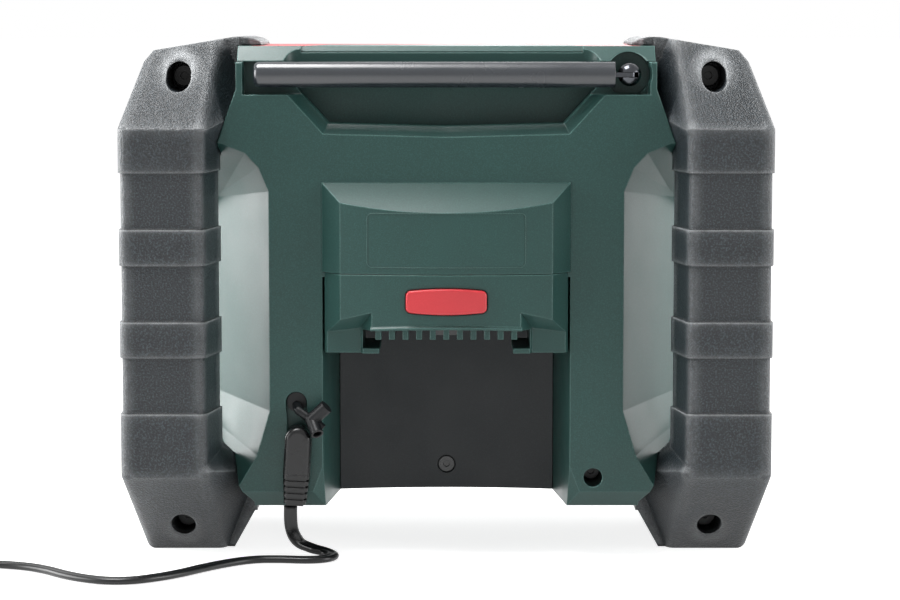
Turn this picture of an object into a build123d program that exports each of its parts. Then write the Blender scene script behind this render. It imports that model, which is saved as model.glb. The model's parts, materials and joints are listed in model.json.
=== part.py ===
"""Jobsite radio: a moulded case between two rubber bumper rings.

Millimetres. +Z is up, the front looks along -Y and the back along +Y. The origin lies on the
floor under the middle of the radio. "Right" and "left" are those of a person facing the front,
so the right bumper stands at +X.
"""

from build123d import *
import os
from math import atan, cos, degrees, hypot, pi, radians, sin, sqrt, tan

# ---------------------------------------------------------------- sizes
# Bumper rings
half_width = 145.0  # outer face of a bumper from the middle plane
half_depth = 85.0  # front and back faces of the bumpers from the middle plane
height = 235.0
bumper_face_width = 38.0  # width of a ring's back face
bumper_bar = 28.0  # thickness of the ring all round its window
bumper_run = 45.0  # depth of the slanting top and bottom faces
bumper_rise = 40.0  # height of the slanting top and bottom faces
bumper_draft = 5.4  # how far the inner face closes in over the bar's thickness
bumper_top_fall = 6.0  # how far the ring's top slopes down to its outer side
bumper_corner = (8.4, 11.4, 12.5)  # the top's outer corner: in from the side, below the top, its end
bumper_foot_lean = 7.2  # how far the outer face leans in at the floor
bumper_crown = 3.4  # how far beside the case the ring's top is highest
bumper_toe = (1.7, 17.0, 11.2)  # lower inner chamfer: beside the case, its height, its end beside the case
edge_twist = 0.445  # how fast a ring's inner side closes in with depth beside its slanting faces
edge_rise = 0.401  # and how fast it opens with height there
shoulder_lean = 0.358  # how fast the case's upper corners close in with height
foot_lean = 0.6  # how fast the case's lower corners close in towards the floor
lean_twist = 0.3
shoulder_step = 3.5  # how far the case's corners start inside the rings' inner edges
shoulder_start = 49.0  # how far below the top and above the floor they start
bumper_outer_radius = 4.5
bumper_inner_radius = 4.0
waist_in = 49.0  # how far from the back face a ring's inner side turns upright
band_depth = 1.0
band_height = 25.0
band_pitch = 41.0
band_offset = 4.5  # how far above mid-height the bands are centred
flap_reach = 9.4  # how far the ring's top reaches in over the case
flap_thickness = 3.6
part_gap = 0.3  # clearance between pieces that only lie beside each other

# Case
wall = 3.0
back_recess = 20.0  # how far the case's back lies inside the rings
front_recess = 12.0
top_recess = 4.0
case_bottom_z = 23.0
case_top_inset = 51.4  # how far the case's sides lie inside the rings' outer faces, at the top
case_foot_inset = 58.2  # and at the floor end
case_back_bevel = 7.5  # slanting faces at the back's top and bottom edges
case_front_bevel = 13.0
cheek_recess = 27.0  # how far the case's sides lie inside the ring windows
parting_y = -8.0
seal_thickness = 1.0
seal_inset = 0.6  # how far the seal stays inside the wall's faces
seal_slack = 0.05  # gap between the seal and each half

# Hand grips
grip_wall_x = 79.5
grip_depth = 65.0
grip_top_drop = 64.6  # how far below the case's top the grip's wall ends
grip_wall_bottom_z = 67.3
grip_bottom_z = 33.5
grip_arch = [(21.6, 43.0), (10.4, 47.5), (4.4, 54.0)]  # corners above the wall: beside it, below the top
grip_angle = 30.6

# Antenna and its channel
antenna_radius = 5.75
antenna_pivot_x = -81.8
antenna_sink = 3.0
antenna_drop = 12.6
antenna_tip_x = 86.0
antenna_neck = 6.5  # from the pivot to the sleeve's end
ball_radius = 5.2
tongue_thickness = 2.0
tongue_radius = 3.4
antenna_pin_radius = 0.9
swivel_shaft_radius = 2.5
nut_radius = 5.0
nut_thickness = 5.0
running_gap = 0.05  # radial clearance of a shaft in its hole
channel_depth = 15.0
channel_bottom_drop = 21.5
channel_top_drop = 7.0
channel_half = 91.0
lip_depth = 9.5
notch_left_x = -61.5
notch_right_x = 65.5
scoop_radius = 10.0
scoop_sink = 1.5  # how much deeper the scoop goes than the channel
lip_scoop = 8.0  # radius of the hollow at each end of the channel's raised lips

# Finger pocket under the antenna
pocket_top_half = 71.0
pocket_bottom_half = 55.0
pocket_bottom_drop = 39.0
pocket_sag = 1.4
pocket_band_depth = 6.0
pocket_band = 4.5
pocket_depth = 24.0

# Battery bay and dock
bay_half = 55.6
bay_depth = 50.0
bay_draft_angle = 6.4
bay_top_z = 128.0
bay_plate_hollow = 5.0
bay_plate_thin = 3.0
plate_screw_sink = 1.8
dock_top_z = 170.5
dock_seam_rise = 2.3  # how far above the bay's ceiling
dock_bottom_z = 94.0
dock_rise = 10.0  # how far the dock stands out of the back at its corners
dock_bulge = 5.0  # and how much further in its middle
dock_overlap = 0.3
receiver_gap = 1.3  # how much narrower the receiver is on each side
dock_face_half = 47.3
dock_top_slope = 8.6
mouth_half = 37.5
mouth_top_z = 105.7
mouth_arch = 0.9
lip_bead = 0.9
lip_bead_height = 1.8
lip_bead_half = 33.8
foot_face = 1.5  # how far the feet stand out of the case's back
foot_corner_rise = 15.7
foot_slope = 0.647  # how fast the feet's slanting faces rise with depth
foot_fall = 0.12  # and fall outwards
rail_half = 30.0
rail_thickness = 2.2
rib_count = 11
rib_pitch = 6.05
rib_width = 2.6
rib_drop = 4.7

# Release button and latch
button_width = 36.0
button_height = 11.6
button_z = 118.2
button_arch = 1.1
button_corner = 2.4
button_proud = 2.0
button_flange = 1.6
button_nose = 0.5
latch_width = 14.0
latch_thickness = 2.5

# Terminal block
terminal_width = 44.0
terminal_depth = 24.0
terminal_height = 11.0
blade_count = 5
blade_pitch = 8.0
blade_thickness = 0.8

# DC inlet and its plug
jack_x = 66.6
jack_z = 53.4
jack_recess_radius = 4.8
jack_recess_top_z = 71.2
jack_recess_depth = 4.0
jack_floor = 2.0
jack_radius = 4.4
jack_length = 14.0
jack_bore = 2.9
plug_pin_radius = 2.75
plug_pin_length = 9.5
plug_thickness = 11.0
plug_width = 11.8
plug_lean = 3.3  # degrees
plug_top_z = 61.3
plug_bottom_z = 25.6
plug_rib_z = 39.8
plug_rib_count = 5
plug_rib_shrink = 0.2
plug_round = 2.6

# Screws
case_screw_hole = 4.25
case_screw_head = 3.6
case_screw_shank = 1.7
case_screw_depth = 22.0
leg_screw_x = 66.2
leg_screw_z = 37.0
channel_screw_x = 30.0
channel_screw_rise = 7.5
bay_screw_z = 34.6
bumper_hole = 5.6
bumper_hole_rise = 1.2  # how much higher and lower the upper holes reach
bumper_screw_head = 4.6
bumper_screw_shank = 2.0
bumper_screw_in = 25.2
bumper_screw_drop = 17.6
bumper_screw_bottom_z = 14.0
lug_half_depth = 22.0
lug_end_in = 15.0
lug_half_height = 5.0
lug_root_in = 39.0

# Front: loudspeakers
speaker_x = 50.0
speaker_z = 79.0
speaker_radius = 38.5
speaker_flange = 2.0
speaker_depth = 30.0
cone_radius = 31.0
surround_width = 4.5
magnet_radius = 20.0
magnet_thickness = 9.0
grille_radius = 43.5
grille_thickness = 1.6
grille_rise = 1.8
grille_rim = 6.0
grille_slot = 2.6
grille_slot_pitch = 6.4

# Front: control panel
panel_margin = 3.6
panel_bottom_z = 132.0
panel_top_drop = 19.0
panel_corner = 8.0
panel_thickness = 2.5
panel_ledge = 6.0
display_width = 84.0
display_height = 36.0
display_drop = 30.0
lens_thickness = 1.6
knob_x = 68.0
knob_radius = 17.0
knob_length = 10.0
flute_count = 18
flute_radius = 1.4
encoder_shaft_radius = 3.0
key_names = ["power_button", "source_button", "preset_one_button", "preset_two_button",
             "preset_three_button"]
key_pitch = 24.0
key_width = 16.0
key_height = 8.0
key_rise = 13.5
key_proud = 1.6
key_travel = 1.0
board_thickness = 1.6
control_board_depth = 15.0

# Inside
main_board_depth = 31.0
main_board_half = 62.0
main_board_rise = 8.0
main_board_height = 48.0
standoff_radius = 3.5

# Top trim
trim_margin = 5.6
trim_front_margin = 16.0
trim_back_margin = 19.0
trim_inner_half = 64.0
trim_inner_y = -18.0
trim_thickness = 2.0

# Supply lead
cord_radius = 2.1
coil_mean_radius = 33.0
coil_half_width = 6.2
coil_height = 9.6
coil_x = 249.0
coil_y = 49.0
adapter_width = 38.0
adapter_length = 58.0
adapter_height = 30.0
adapter_x = 280.0
adapter_back_y = -8.0
prong_radius = 2.0
prong_length = 18.0
prong_pitch = 19.0

# ---------------------------------------------------------------- sizes that follow
case_back_y = half_depth - back_recess
case_front_y = front_recess - half_depth
case_top_z = height - top_recess
case_half_top = half_width - case_top_inset
case_half_bottom = half_width - case_foot_inset
cheek_half = half_width - cheek_recess
waist_y = half_depth - waist_in
band_middle_z = height / 2 + band_offset
bumper_crown_x = case_half_top + bumper_crown
bumper_screw_x = half_width - bumper_screw_in
bumper_screw_top_z = height - bumper_screw_drop
shoulder_half = half_width - bumper_face_width - shoulder_step
lug_end_x = half_width - lug_end_in
lug_inner_x = half_width - lug_root_in
grip_wall_top_z = case_top_z - grip_top_drop
antenna_pivot_y = case_back_y - antenna_sink
antenna_pivot_z = case_top_z - antenna_drop
channel_floor_y = case_back_y - channel_depth
channel_bottom_z = case_top_z - channel_bottom_drop
channel_top_z = case_top_z - channel_top_drop
channel_screw_z = channel_bottom_z + channel_screw_rise
lip_y = case_back_y - lip_depth
pocket_bottom_z = case_top_z - pocket_bottom_drop
dock_half = bay_half + dock_overlap
dock_seam_z = bay_top_z + dock_seam_rise
panel_half = case_half_top - panel_margin
panel_top_z = case_top_z - panel_top_drop
display_z = panel_top_z - display_drop
knob_z = display_z
key_z = panel_bottom_z + key_rise
control_board_y = case_front_y + control_board_depth
main_board_y = case_back_y - main_board_depth
main_board_bottom_z = bay_top_z + main_board_rise
main_board_top_z = main_board_bottom_z + main_board_height
trim_half = case_half_top - trim_margin
trim_front_y = case_front_y + trim_front_margin
trim_back_y = case_back_y - trim_back_margin
beyond = 2 * height  # farther out than any piece of the radio


# ---------------------------------------------------------------- building blocks
def offset_outline(outline, distance):
    """Moves every side of an anticlockwise outline outwards by distance."""
    moved = []
    for i, (a, b) in enumerate(outline):
        before, after = outline[i - 1], outline[(i + 1) % len(outline)]
        normals = []
        for (p, q), (r, s) in ((before, (a, b)), ((a, b), after)):
            length = hypot(r - p, s - q)
            normals.append(((s - q) / length, (p - r) / length))
        (na, nb), (ma, mb) = normals
        share = distance / (1 + na * ma + nb * mb)
        moved.append((a + share * (na + ma), b + share * (nb + mb)))
    return moved


def face_at(axis, outline, level):
    """A flat face across the axis at a level: (y, z) points for X, (x, z) for Y, (x, y) for Z."""
    place = {
        "X": lambda a, b: (level, a, b),
        "Y": lambda a, b: (a, level, b),
        "Z": lambda a, b: (a, b, level),
    }[axis]
    return Face(Wire.make_polygon([place(a, b) for a, b in outline], close=True))


def prism(axis, outline, start, end):
    direction = {"X": (1, 0, 0), "Y": (0, 1, 0), "Z": (0, 0, 1)}[axis]
    return extrude(face_at(axis, outline, start), end - start, dir=direction)


def taper(axis, outline, start, end, draft):
    """A prism whose sides close in by draft on the way from start to end."""
    return loft([face_at(axis, outline, start),
                 face_at(axis, offset_outline(outline, -draft), end)], ruled=True)


def bar(axis, radius, start, end, a=0.0, b=0.0):
    """A round bar along an axis, through (a, b) of the other two coordinates."""
    middle = (start + end) / 2
    rotation = {"X": Rot(0, 90, 0), "Y": Rot(90, 0, 0), "Z": Rot(0, 0, 0)}[axis]
    place = {"X": (middle, a, b), "Y": (a, middle, b), "Z": (a, b, middle)}[axis]
    return Pos(*place) * rotation * Cylinder(radius, abs(end - start))


def block(x0, x1, y0, y1, z0, z1):
    return Pos((x0 + x1) / 2, (y0 + y1) / 2, (z0 + z1) / 2) * Box(x1 - x0, y1 - y0, z1 - z0)


def wedge(y0, y1, z0, z1, level):
    """The space from the middle plane out to a slanting plane whose x is level(y, z)."""
    corners = [(y0, z0), (y1, z0), (y1, z1), (y0, z1)]
    inner = [(0, y, z) for y, z in corners]
    outer = [(level(y, z), y, z) for y, z in corners]
    sides = [[inner[i], inner[(i + 1) % 4], outer[(i + 1) % 4], outer[i]] for i in range(4)]
    return Solid(Shell([Face(Wire.make_polygon(loop, close=True)) for loop in [inner, outer, *sides]]))


def drafted_space(outline, start, end, draft):
    """Like a taper along Y, but short sides of the outline may run out on the way."""
    reach = 300.0
    space = None
    for i, (a, b) in enumerate(outline):
        c, d = outline[(i + 1) % len(outline)]
        length = hypot(c - a, d - b)
        u, v = (c - a) / length, (d - b) / length
        near = [(a - u * reach, b - v * reach), (c + u * reach, d + v * reach)]
        strip = near + [(p - v * reach, q + u * reach) for p, q in reversed(near)]
        moved = [(p - v * draft, q + u * draft) for p, q in strip]
        half = loft([face_at("Y", strip, start), face_at("Y", moved, end)], ruled=True)
        space = half if space is None else space & half
    return space


def rectangle(a0, a1, b0, b1):
    return [(a0, b0), (a1, b0), (a1, b1), (a0, b1)]


def both_sides(shape):
    """The shape and its mirror image across the middle plane."""
    return shape + mirror(shape, about=Plane.YZ)


# ---------------------------------------------------------------- bumper rings
def ring_outline():
    """Side view of a ring's outside, as (y, z)."""
    corner = half_depth - bumper_run
    return [(corner, 0), (half_depth, bumper_rise), (half_depth, height - bumper_rise),
            (corner, height), (-corner, height), (-half_depth, height - bumper_rise),
            (-half_depth, bumper_rise), (-corner, 0)]


def window_outline():
    return offset_outline(ring_outline(), -bumper_bar)


def side_planes_void(gap):
    """The space between the two rings, which the case fills; gap narrows it."""
    level = half_depth - bumper_bar
    near = half_width - bumper_face_width - bumper_draft - gap
    reach = 10.0
    wide = near + bumper_draft / bumper_bar * (bumper_bar + reach)
    sides, waists = None, None
    halves = ((-20.0, height / 2, case_half_bottom), (height / 2, height + 20.0, case_half_top))
    for low, high, case_half in halves:
        waist_half = case_half + 2 * part_gap - gap
        waist = rectangle(-waist_half, waist_half, low, high)
        middle = rectangle(-near, near, low, high)
        outside = rectangle(-wide, wide, low, high)
        for side in (-1, 1):
            outer = loft([face_at("Y", middle, side * level),
                          face_at("Y", outside, side * (half_depth + reach))], ruled=True)
            inner = loft([face_at("Y", waist, side * waist_y),
                          face_at("Y", middle, side * level)], ruled=True)
            sides = outer + inner if sides is None else sides + outer + inner
        whole = prism("Y", waist, -half_depth - reach, half_depth + reach)
        waists = whole if waists is None else waists + whole
    return (sides & leaning_space(gap)) + waists


def shoulder_level(y, z):
    above = z - (height - shoulder_start)
    return shoulder_half - shoulder_lean * above + lean_twist * (y - case_back_y)


def foot_level(y, z):
    return shoulder_half - foot_lean * (shoulder_start - z) + lean_twist * (y - case_back_y)


def leaning_space(gap):
    """Closes the space between the rings in towards their tops and feet."""
    far = half_depth + 12
    back = wedge(0, far, -30, height + 30, lambda y, z: shoulder_level(y, z) - gap)
    back &= wedge(0, far, -30, height + 30, lambda y, z: foot_level(y, z) - gap)
    right = back + mirror(back, about=Plane.XZ)
    return both_sides(right)


def slanting_side_void(gap):
    """The space beside the rings' slanting faces, where their inner side turns away from the case."""
    corner_y, corner_z = offset_outline(ring_outline(), gap)[2]
    corner_x = half_width - bumper_face_width - gap
    corner_x += bumper_draft / bumper_bar * (corner_y - half_depth)

    def above(y, z):
        return corner_x + edge_twist * (y - corner_y) + edge_rise * (z - corner_z)

    top = wedge(waist_y, half_depth + 8, corner_z - 12, height + 20, above)
    foot = wedge(waist_y, half_depth + 8, -20, height - corner_z + 12, lambda y, z: above(y, height - z))
    right = top + foot
    right += mirror(right, about=Plane.XZ)
    return both_sides(right)


def ring_body(inset):
    """One ring at +X with rounded long edges; inset moves its skin inwards."""
    outline = offset_outline(ring_outline(), -inset)
    outer = half_width - inset
    foot = outer - bumper_foot_lean
    corner_in, corner_drop, crown_in = bumper_corner
    toe_out, toe_z, sole_out = bumper_toe
    front_view = [(40, toe_z), (case_half_bottom + toe_out, toe_z), (case_half_bottom + sole_out, 0),
                  (foot, 0), (outer, bumper_rise), (outer, height - bumper_rise),
                  (outer - corner_in, height - corner_drop), (outer - crown_in, height - bumper_top_fall),
                  (bumper_crown_x, height), (40, height)]
    ring = prism("X", outline, 40, half_width + 1) & prism("Y", front_view, -half_depth, half_depth)
    ring -= prism("X", window_outline(), 30, half_width + 2)
    ring -= side_planes_void(-inset) + slanting_side_void(-inset)
    return round_ring(ring, outline, inset)


def round_ring(ring, outline, inset):
    """Rounds the long edges on the outside of a ring: its outer side, then its inner one."""
    def edges_where(keep):
        return [e for e in ring.edges()
                if all(on_outline(p.Y, p.Z, outline) and keep(p) for p in (e @ 0, e @ 0.5, e @ 1))]

    outer = half_width - bumper_corner[2] - 1 - inset
    ring = fillet(edges_where(lambda p: p.X > outer), bumper_outer_radius - inset)
    corner = half_depth - bumper_run - 2
    inner = half_width - bumper_face_width + 2 + inset
    low, high = bumper_crown_x + 3, inner
    return fillet(edges_where(lambda p: low < p.X < high and abs(p.Y) > corner),
                  bumper_inner_radius - inset)


def on_outline(y, z, outline):
    """Whether a point of the side view lies on a closed outline."""
    for i, (p, q) in enumerate(outline):
        r, s = outline[(i + 1) % len(outline)]
        length = hypot(r - p, s - q)
        away = abs((y - p) * (s - q) - (z - q) * (r - p)) / length
        along = ((y - p) * (r - p) + (z - q) * (s - q)) / length
        if away < 0.02 and -0.1 < along < length + 0.1:
            return True
    return False


def bumper_screw_places():
    return [(bumper_screw_top_z, 1), (bumper_screw_top_z, -1),
            (bumper_screw_bottom_z, 1), (bumper_screw_bottom_z, -1)]


def right_bumper():
    full, slim = ring_body(0), ring_body(band_depth)
    bands = None
    for step in (-1, 0, 1):
        low = band_middle_z + step * band_pitch - band_height / 2
        band = block(60, half_width + 5, -half_depth - 5, half_depth + 5, low, low + band_height)
        bands = band if bands is None else bands + band
    ring = (full - bands) + (slim & bands)
    start = case_half_top + part_gap - flap_reach
    flap_y = half_depth - bumper_run - bumper_outer_radius
    low = height - flap_thickness
    flap = prism("Y", [(start, low), (bumper_crown_x, low), (bumper_crown_x, height), (start + 7.5, height),
                       (start + 3.2, height - 0.9), (start + 0.6, height - 2.2)], -flap_y, flap_y)
    plan = [(start, -flap_y + 5), (start + 5, -flap_y), (bumper_crown_x, -flap_y), (bumper_crown_x, flap_y),
            (start + 5, flap_y), (start, flap_y - 5)]
    ring += flap & prism("Z", plan, low - 1, height + 1)
    for z, side in bumper_screw_places():
        ring -= bumper_screw_hole(z, side)
        ring -= bar("Y", bumper_screw_shank + part_gap, side * (lug_half_depth - 2),
                    side * lug_face(), bumper_screw_x, z)
    for lug in lug_blocks(part_gap, (-lug_half_depth, lug_half_depth)):
        ring -= lug
    return ring


def bumper_screw_hole(z, side):
    """The deep round hole over a screw; the upper ones are taller than wide."""
    rise = bumper_hole_rise if z > height / 2 else 0
    start, end = side * lug_face(), side * (half_depth + 1)
    hole = bar("Y", bumper_hole, start, end, bumper_screw_x, z)
    if rise:
        hole += bar("Y", bumper_hole, start, end, bumper_screw_x, z - rise)
        hole += bar("Y", bumper_hole, start, end, bumper_screw_x, z + rise)
        hole += block(bumper_screw_x - bumper_hole, bumper_screw_x + bumper_hole, min(start, end),
                      max(start, end), z - rise, z + rise)
    return hole


def lug_face():
    """Where the bumper screws' heads seat: the rubber left over the case's lugs."""
    return lug_half_depth + 6.0


def lug_blocks(grow, depths):
    """The lugs of the case inside the right ring: one from its side above, one from its cheek below."""
    y0, y1 = depths[0] - grow, depths[1] + grow
    end, tall = lug_end_x + grow, lug_half_height + grow
    inner, cheek_end = lug_inner_x - grow, cheek_half - 1 + grow
    low = bumper_screw_bottom_z
    return [block(case_half_top - 10, end, y0, y1, bumper_screw_top_z - tall, bumper_screw_top_z + tall),
            block(inner, end, y0, y1, low - tall, low + tall),
            block(inner, cheek_end, y0, y1, low - tall, bumper_bar + 3)]


def lugs(depths):
    """The case's four lugs over a range of depths, with their screw holes."""
    result = None
    for lug in lug_blocks(0, depths):
        result = lug if result is None else result + lug
    for z, side in bumper_screw_places():
        result -= bar("Y", bumper_screw_shank, side * (lug_half_depth - 12), side * (lug_half_depth + 1),
                      bumper_screw_x, z)
    return both_sides(result)


def bumper_screws():
    screws = []
    for z, side in bumper_screw_places():
        head = bar("Y", bumper_screw_head, side * lug_face(), side * (lug_face() + 3), bumper_screw_x, z)
        recess = bar("Y", 1.8, side * (lug_face() + 1.2), side * (lug_face() + 4), bumper_screw_x, z)
        shank = bar("Y", bumper_screw_shank - 0.1, side * (lug_half_depth - 11), side * lug_face(),
                    bumper_screw_x, z)
        screw = head - recess + shank
        screws += [screw, mirror(screw, about=Plane.YZ)]
    return Compound(children=screws)


# ---------------------------------------------------------------- case
def case_side_outline():
    """Side view of the case, as (y, z)."""
    back, front, low, high = case_back_y, case_front_y, case_bottom_z, case_top_z
    b, f = case_back_bevel, case_front_bevel
    return [(back - b, low), (back, low + b), (back, high - b), (back - b, high),
            (front + f, high), (front, high - f), (front, low + f), (front + f, low)]


def grip_outline():
    """Back view of the right hand grip's mouth, as (x, z)."""
    far = 220.0
    arch = [(grip_wall_x + out, case_top_z - drop) for out, drop in grip_arch]
    return [(93.5, grip_bottom_z), (far, grip_bottom_z), (far, arch[0][1]), *arch,
            (grip_wall_x, grip_wall_top_z), (grip_wall_x, grip_wall_bottom_z), (85.4, 47.0)]


def grip_void(grow):
    slope = tan(radians(grip_angle))
    side = grow / cos(radians(grip_angle))
    over = 12.0
    outline = offset_outline(grip_outline(), side + over * slope)
    depth = grip_depth + grow
    return drafted_space(outline, case_back_y + over, case_back_y - depth, (depth + over) * slope)


def antenna_void(grow):
    """The channel that holds the folded antenna, open to the back and, above it, to the top."""
    floor, far = channel_floor_y - grow, case_back_y + 20
    low, top, side = channel_bottom_z - grow, case_top_z + 10, cheek_half + 12
    void = block(-channel_half - grow, channel_half + grow, floor, far, low, channel_top_z + grow)
    scoop = bar("Y", scoop_radius + grow, floor - scoop_sink, far, antenna_pivot_x, antenna_pivot_z)
    void += scoop & block(-side, side, 0, far, low, top)
    lip = [(lip_y - 7 - grow, top), (lip_y - 7 - grow, case_top_z), (lip_y - grow, channel_top_z + 0.5),
           (lip_y - grow, channel_top_z), (far, channel_top_z), (far, top)]
    void += prism("X", lip, -side, side)
    notch = [(floor - 4, top), (floor - 4, case_top_z), (floor - 1.2, case_top_z - 2.2),
             (floor - 1.2, case_top_z - 2.9), (floor, case_top_z - 2.9), (floor, low), (far, low), (far, top)]
    void += prism("X", notch, notch_left_x - grow, notch_right_x + grow)
    for x in (notch_left_x, notch_right_x):
        void += bar("Z", lip_scoop + grow, low, top, x, channel_floor_y + lip_scoop)
    return void


def pocket_void(grow):
    """The trapezoid finger pocket under the antenna."""
    top = channel_bottom_z + 4 + pocket_band
    widen = (pocket_top_half - pocket_bottom_half) / (channel_bottom_z - pocket_bottom_z)
    half_top = pocket_bottom_half + widen * (top - pocket_bottom_z)
    outline = [(-pocket_bottom_half, pocket_bottom_z), (0, pocket_bottom_z - pocket_sag),
               (pocket_bottom_half, pocket_bottom_z), (half_top, top), (-half_top, top)]
    over = 2.0
    slope = pocket_band / pocket_band_depth
    mouth = offset_outline(outline, grow + over * slope)
    void = taper("Y", mouth, case_back_y + over, case_back_y - pocket_band_depth,
                 (pocket_band_depth + over) * slope)
    inner = offset_outline(outline, grow - pocket_band)
    void += prism("Y", inner, case_back_y - pocket_depth - grow, case_back_y - pocket_band_depth)
    return void


def bay_outline(grow):
    return offset_outline(rectangle(-bay_half, bay_half, -12.0, bay_top_z), grow)


def bay_void(grow):
    """The battery bay, open to the back and below."""
    slope = tan(radians(bay_draft_angle))
    over = 2.0
    depth = bay_depth + bay_plate_thin + bay_plate_hollow + grow
    outline = offset_outline(bay_outline(grow), over * slope)
    return taper("Y", outline, case_back_y + over, case_back_y - depth, (depth + over) * slope)


def leg_facets(grow):
    """The small slanting faces on the legs' inner lower corners."""
    low = case_bottom_z - 1
    facet = wedge(case_back_y - 9 - grow, case_back_y + 1, low, 44.0 + grow,
                  lambda y, z: 55.0 + grow + 0.38 * (44.0 - z) + 1.1 * (y - case_back_y))
    return both_sides(facet)


def case_form(inset):
    """The whole closed case as one solid, with every face moved inwards by inset."""
    side = prism("X", offset_outline(case_side_outline(), -inset), -130, 130)
    trapezoid = [(-case_half_bottom, case_bottom_z), (case_half_bottom, case_bottom_z),
                 (case_half_top, case_top_z), (-case_half_top, case_top_z)]
    core = side & prism("Y", offset_outline(trapezoid, -inset), -100, 100)
    shoulders = side & side_planes_void(part_gap + inset)
    cheeks = prism("X", offset_outline(window_outline(), -part_gap - inset),
                   -cheek_half + inset, cheek_half - inset)
    form = core + shoulders + cheeks
    for grip in (grip_void(inset), mirror(grip_void(inset), about=Plane.YZ)):
        form -= grip
    form -= antenna_void(inset) + pocket_void(inset) + bay_void(inset)
    return form - leg_facets(inset)


def case_shell():
    return case_form(0) - case_form(wall)


def case_screw_places():
    """(x, z, y of the screw head's seat) for the screws that join the case's halves."""
    return [(leg_screw_x, leg_screw_z, case_back_y - case_screw_depth),
            (-leg_screw_x, leg_screw_z, case_back_y - case_screw_depth),
            (channel_screw_x, channel_screw_z, channel_floor_y - 8),
            (-channel_screw_x, channel_screw_z, channel_floor_y - 8)]


def rear_half_space():
    return block(-beyond, beyond, parting_y + seal_thickness, beyond, -beyond, beyond)


def front_half_space():
    return block(-beyond, beyond, -beyond, parting_y, -beyond, beyond)


def rear_cover():
    cover = case_shell() & rear_half_space()
    inner = case_form(0) & rear_half_space()
    for x, z, seat in case_screw_places():
        cover += bar("Y", case_screw_hole + 2.2, parting_y + seal_thickness, case_back_y, x, z) & inner
    for x, z in standoff_places():
        cover += bar("Y", standoff_radius, main_board_y + board_thickness, case_back_y - 1, x, z)
        cover -= bar("Y", 1.3, main_board_y, main_board_y + 12, x, z)
    for x, z, seat in case_screw_places():
        cover -= bar("Y", case_screw_hole, seat, case_back_y + 10, x, z)
        cover -= bar("Y", case_screw_shank + 0.2, parting_y - 1, seat + 1, x, z)
    shaft = swivel_shaft_radius + running_gap
    cover -= bar("Y", shaft, scoop_floor_y() - wall - 2, channel_floor_y + 1, antenna_pivot_x,
                 antenna_pivot_z)
    cover -= bar("Y", case_screw_shank, plate_screw_seat() - 6, plate_screw_seat(), 0, bay_screw_z)
    cover += jack_boss()
    cover -= jack_recess()
    cover -= bar("Y", jack_radius + 0.1, case_back_y - 12, case_back_y, jack_x, jack_z)
    cover -= trim_space(part_gap / 2)
    cover -= terminal_slot()
    cover += lugs((parting_y + seal_thickness, lug_half_depth)) - case_form(wall)
    return cover


def front_cover():
    cover = case_shell() & front_half_space()
    inner = case_form(0) & front_half_space()
    for x, z, seat in case_screw_places():
        cover += bar("Y", 5.0, case_front_y, parting_y, x, z) & inner
        cover -= bar("Y", case_screw_shank - 0.1, parting_y - 20, parting_y, x, z)
    for side in (-1, 1):
        cover -= bar("Y", grille_radius + part_gap, case_front_y - 1, case_front_y + grille_thickness,
                     side * speaker_x, speaker_z)
        cover -= bar("Y", cone_radius + surround_width, case_front_y - 1, case_front_y + wall + 6,
                     side * speaker_x, speaker_z)
    cover -= panel_plate(part_gap)
    opening = offset_outline(panel_outline(), -panel_ledge)
    cover -= prism("Y", opening, case_front_y - 1, case_front_y + wall + 6)
    cover -= trim_space(part_gap / 2)
    cover += lugs((-lug_half_depth, parting_y)) - case_form(wall)
    return cover


def case_seal():
    """The flat seal pressed between the case's halves."""
    ring = case_form(seal_inset) - case_form(wall - seal_inset)
    ring &= block(-beyond, beyond, parting_y + seal_slack, parting_y + seal_thickness - seal_slack,
                  -beyond, beyond)
    return ring - trim_space(part_gap / 2)


def trim_outline(grow):
    """Plan of the top trim: full depth at the ends, narrow along the front."""
    outer, inner = trim_half, trim_inner_half
    outline = [(-outer, trim_front_y), (outer, trim_front_y), (outer, trim_back_y),
               (inner, trim_back_y), (inner - 8, trim_inner_y), (-inner + 8, trim_inner_y),
               (-inner, trim_back_y), (-outer, trim_back_y)]
    return offset_outline(outline, grow)


def trim_space(grow):
    return prism("Z", trim_outline(grow), case_top_z - trim_thickness, case_top_z + 5)


def top_trim():
    return prism("Z", trim_outline(0), case_top_z - trim_thickness, case_top_z)


def case_screws():
    screws = []
    for x, z, seat in case_screw_places():
        screw = bar("Y", case_screw_head, seat, seat + 2.4, x, z)
        screw -= bar("Y", 1.5, seat + 1, seat + 3, x, z)
        screw += bar("Y", case_screw_shank - 0.2, parting_y - 16, seat, x, z)
        screws.append(screw)
    seat = plate_screw_seat()
    plate_screw = bar("Y", case_screw_head, seat, seat + plate_screw_sink, 0, bay_screw_z)
    plate_screw -= bar("Y", 1.5, seat + 0.8, seat + 3, 0, bay_screw_z)
    plate_screw += bar("Y", case_screw_shank, seat - 4, seat, 0, bay_screw_z)
    screws.append(plate_screw)
    return Compound(children=screws)


# ---------------------------------------------------------------- battery dock
def bulge_cylinder(inset):
    """The upright cylinder whose back side is the dock's bulged face."""
    chord = dock_face_half
    radius = (chord ** 2 + dock_bulge ** 2) / (2 * dock_bulge)
    back = case_back_y + dock_rise + dock_bulge
    return bar("Z", radius - inset, 60, 190, 0, back - radius)


def dock_form(inset, bottom, top, half=dock_half):
    """The bulged dock between two heights, with its side bevels."""
    slope = (half - dock_face_half) / dock_rise
    deepest = dock_rise + dock_bulge + 1
    base, tip = half - inset, half - inset - slope * deepest
    plan = [(-base, case_back_y), (base, case_back_y), (tip, case_back_y + deepest),
            (-tip, case_back_y + deepest)]
    return prism("Z", plan, bottom, top) & bulge_cylinder(inset)


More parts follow.
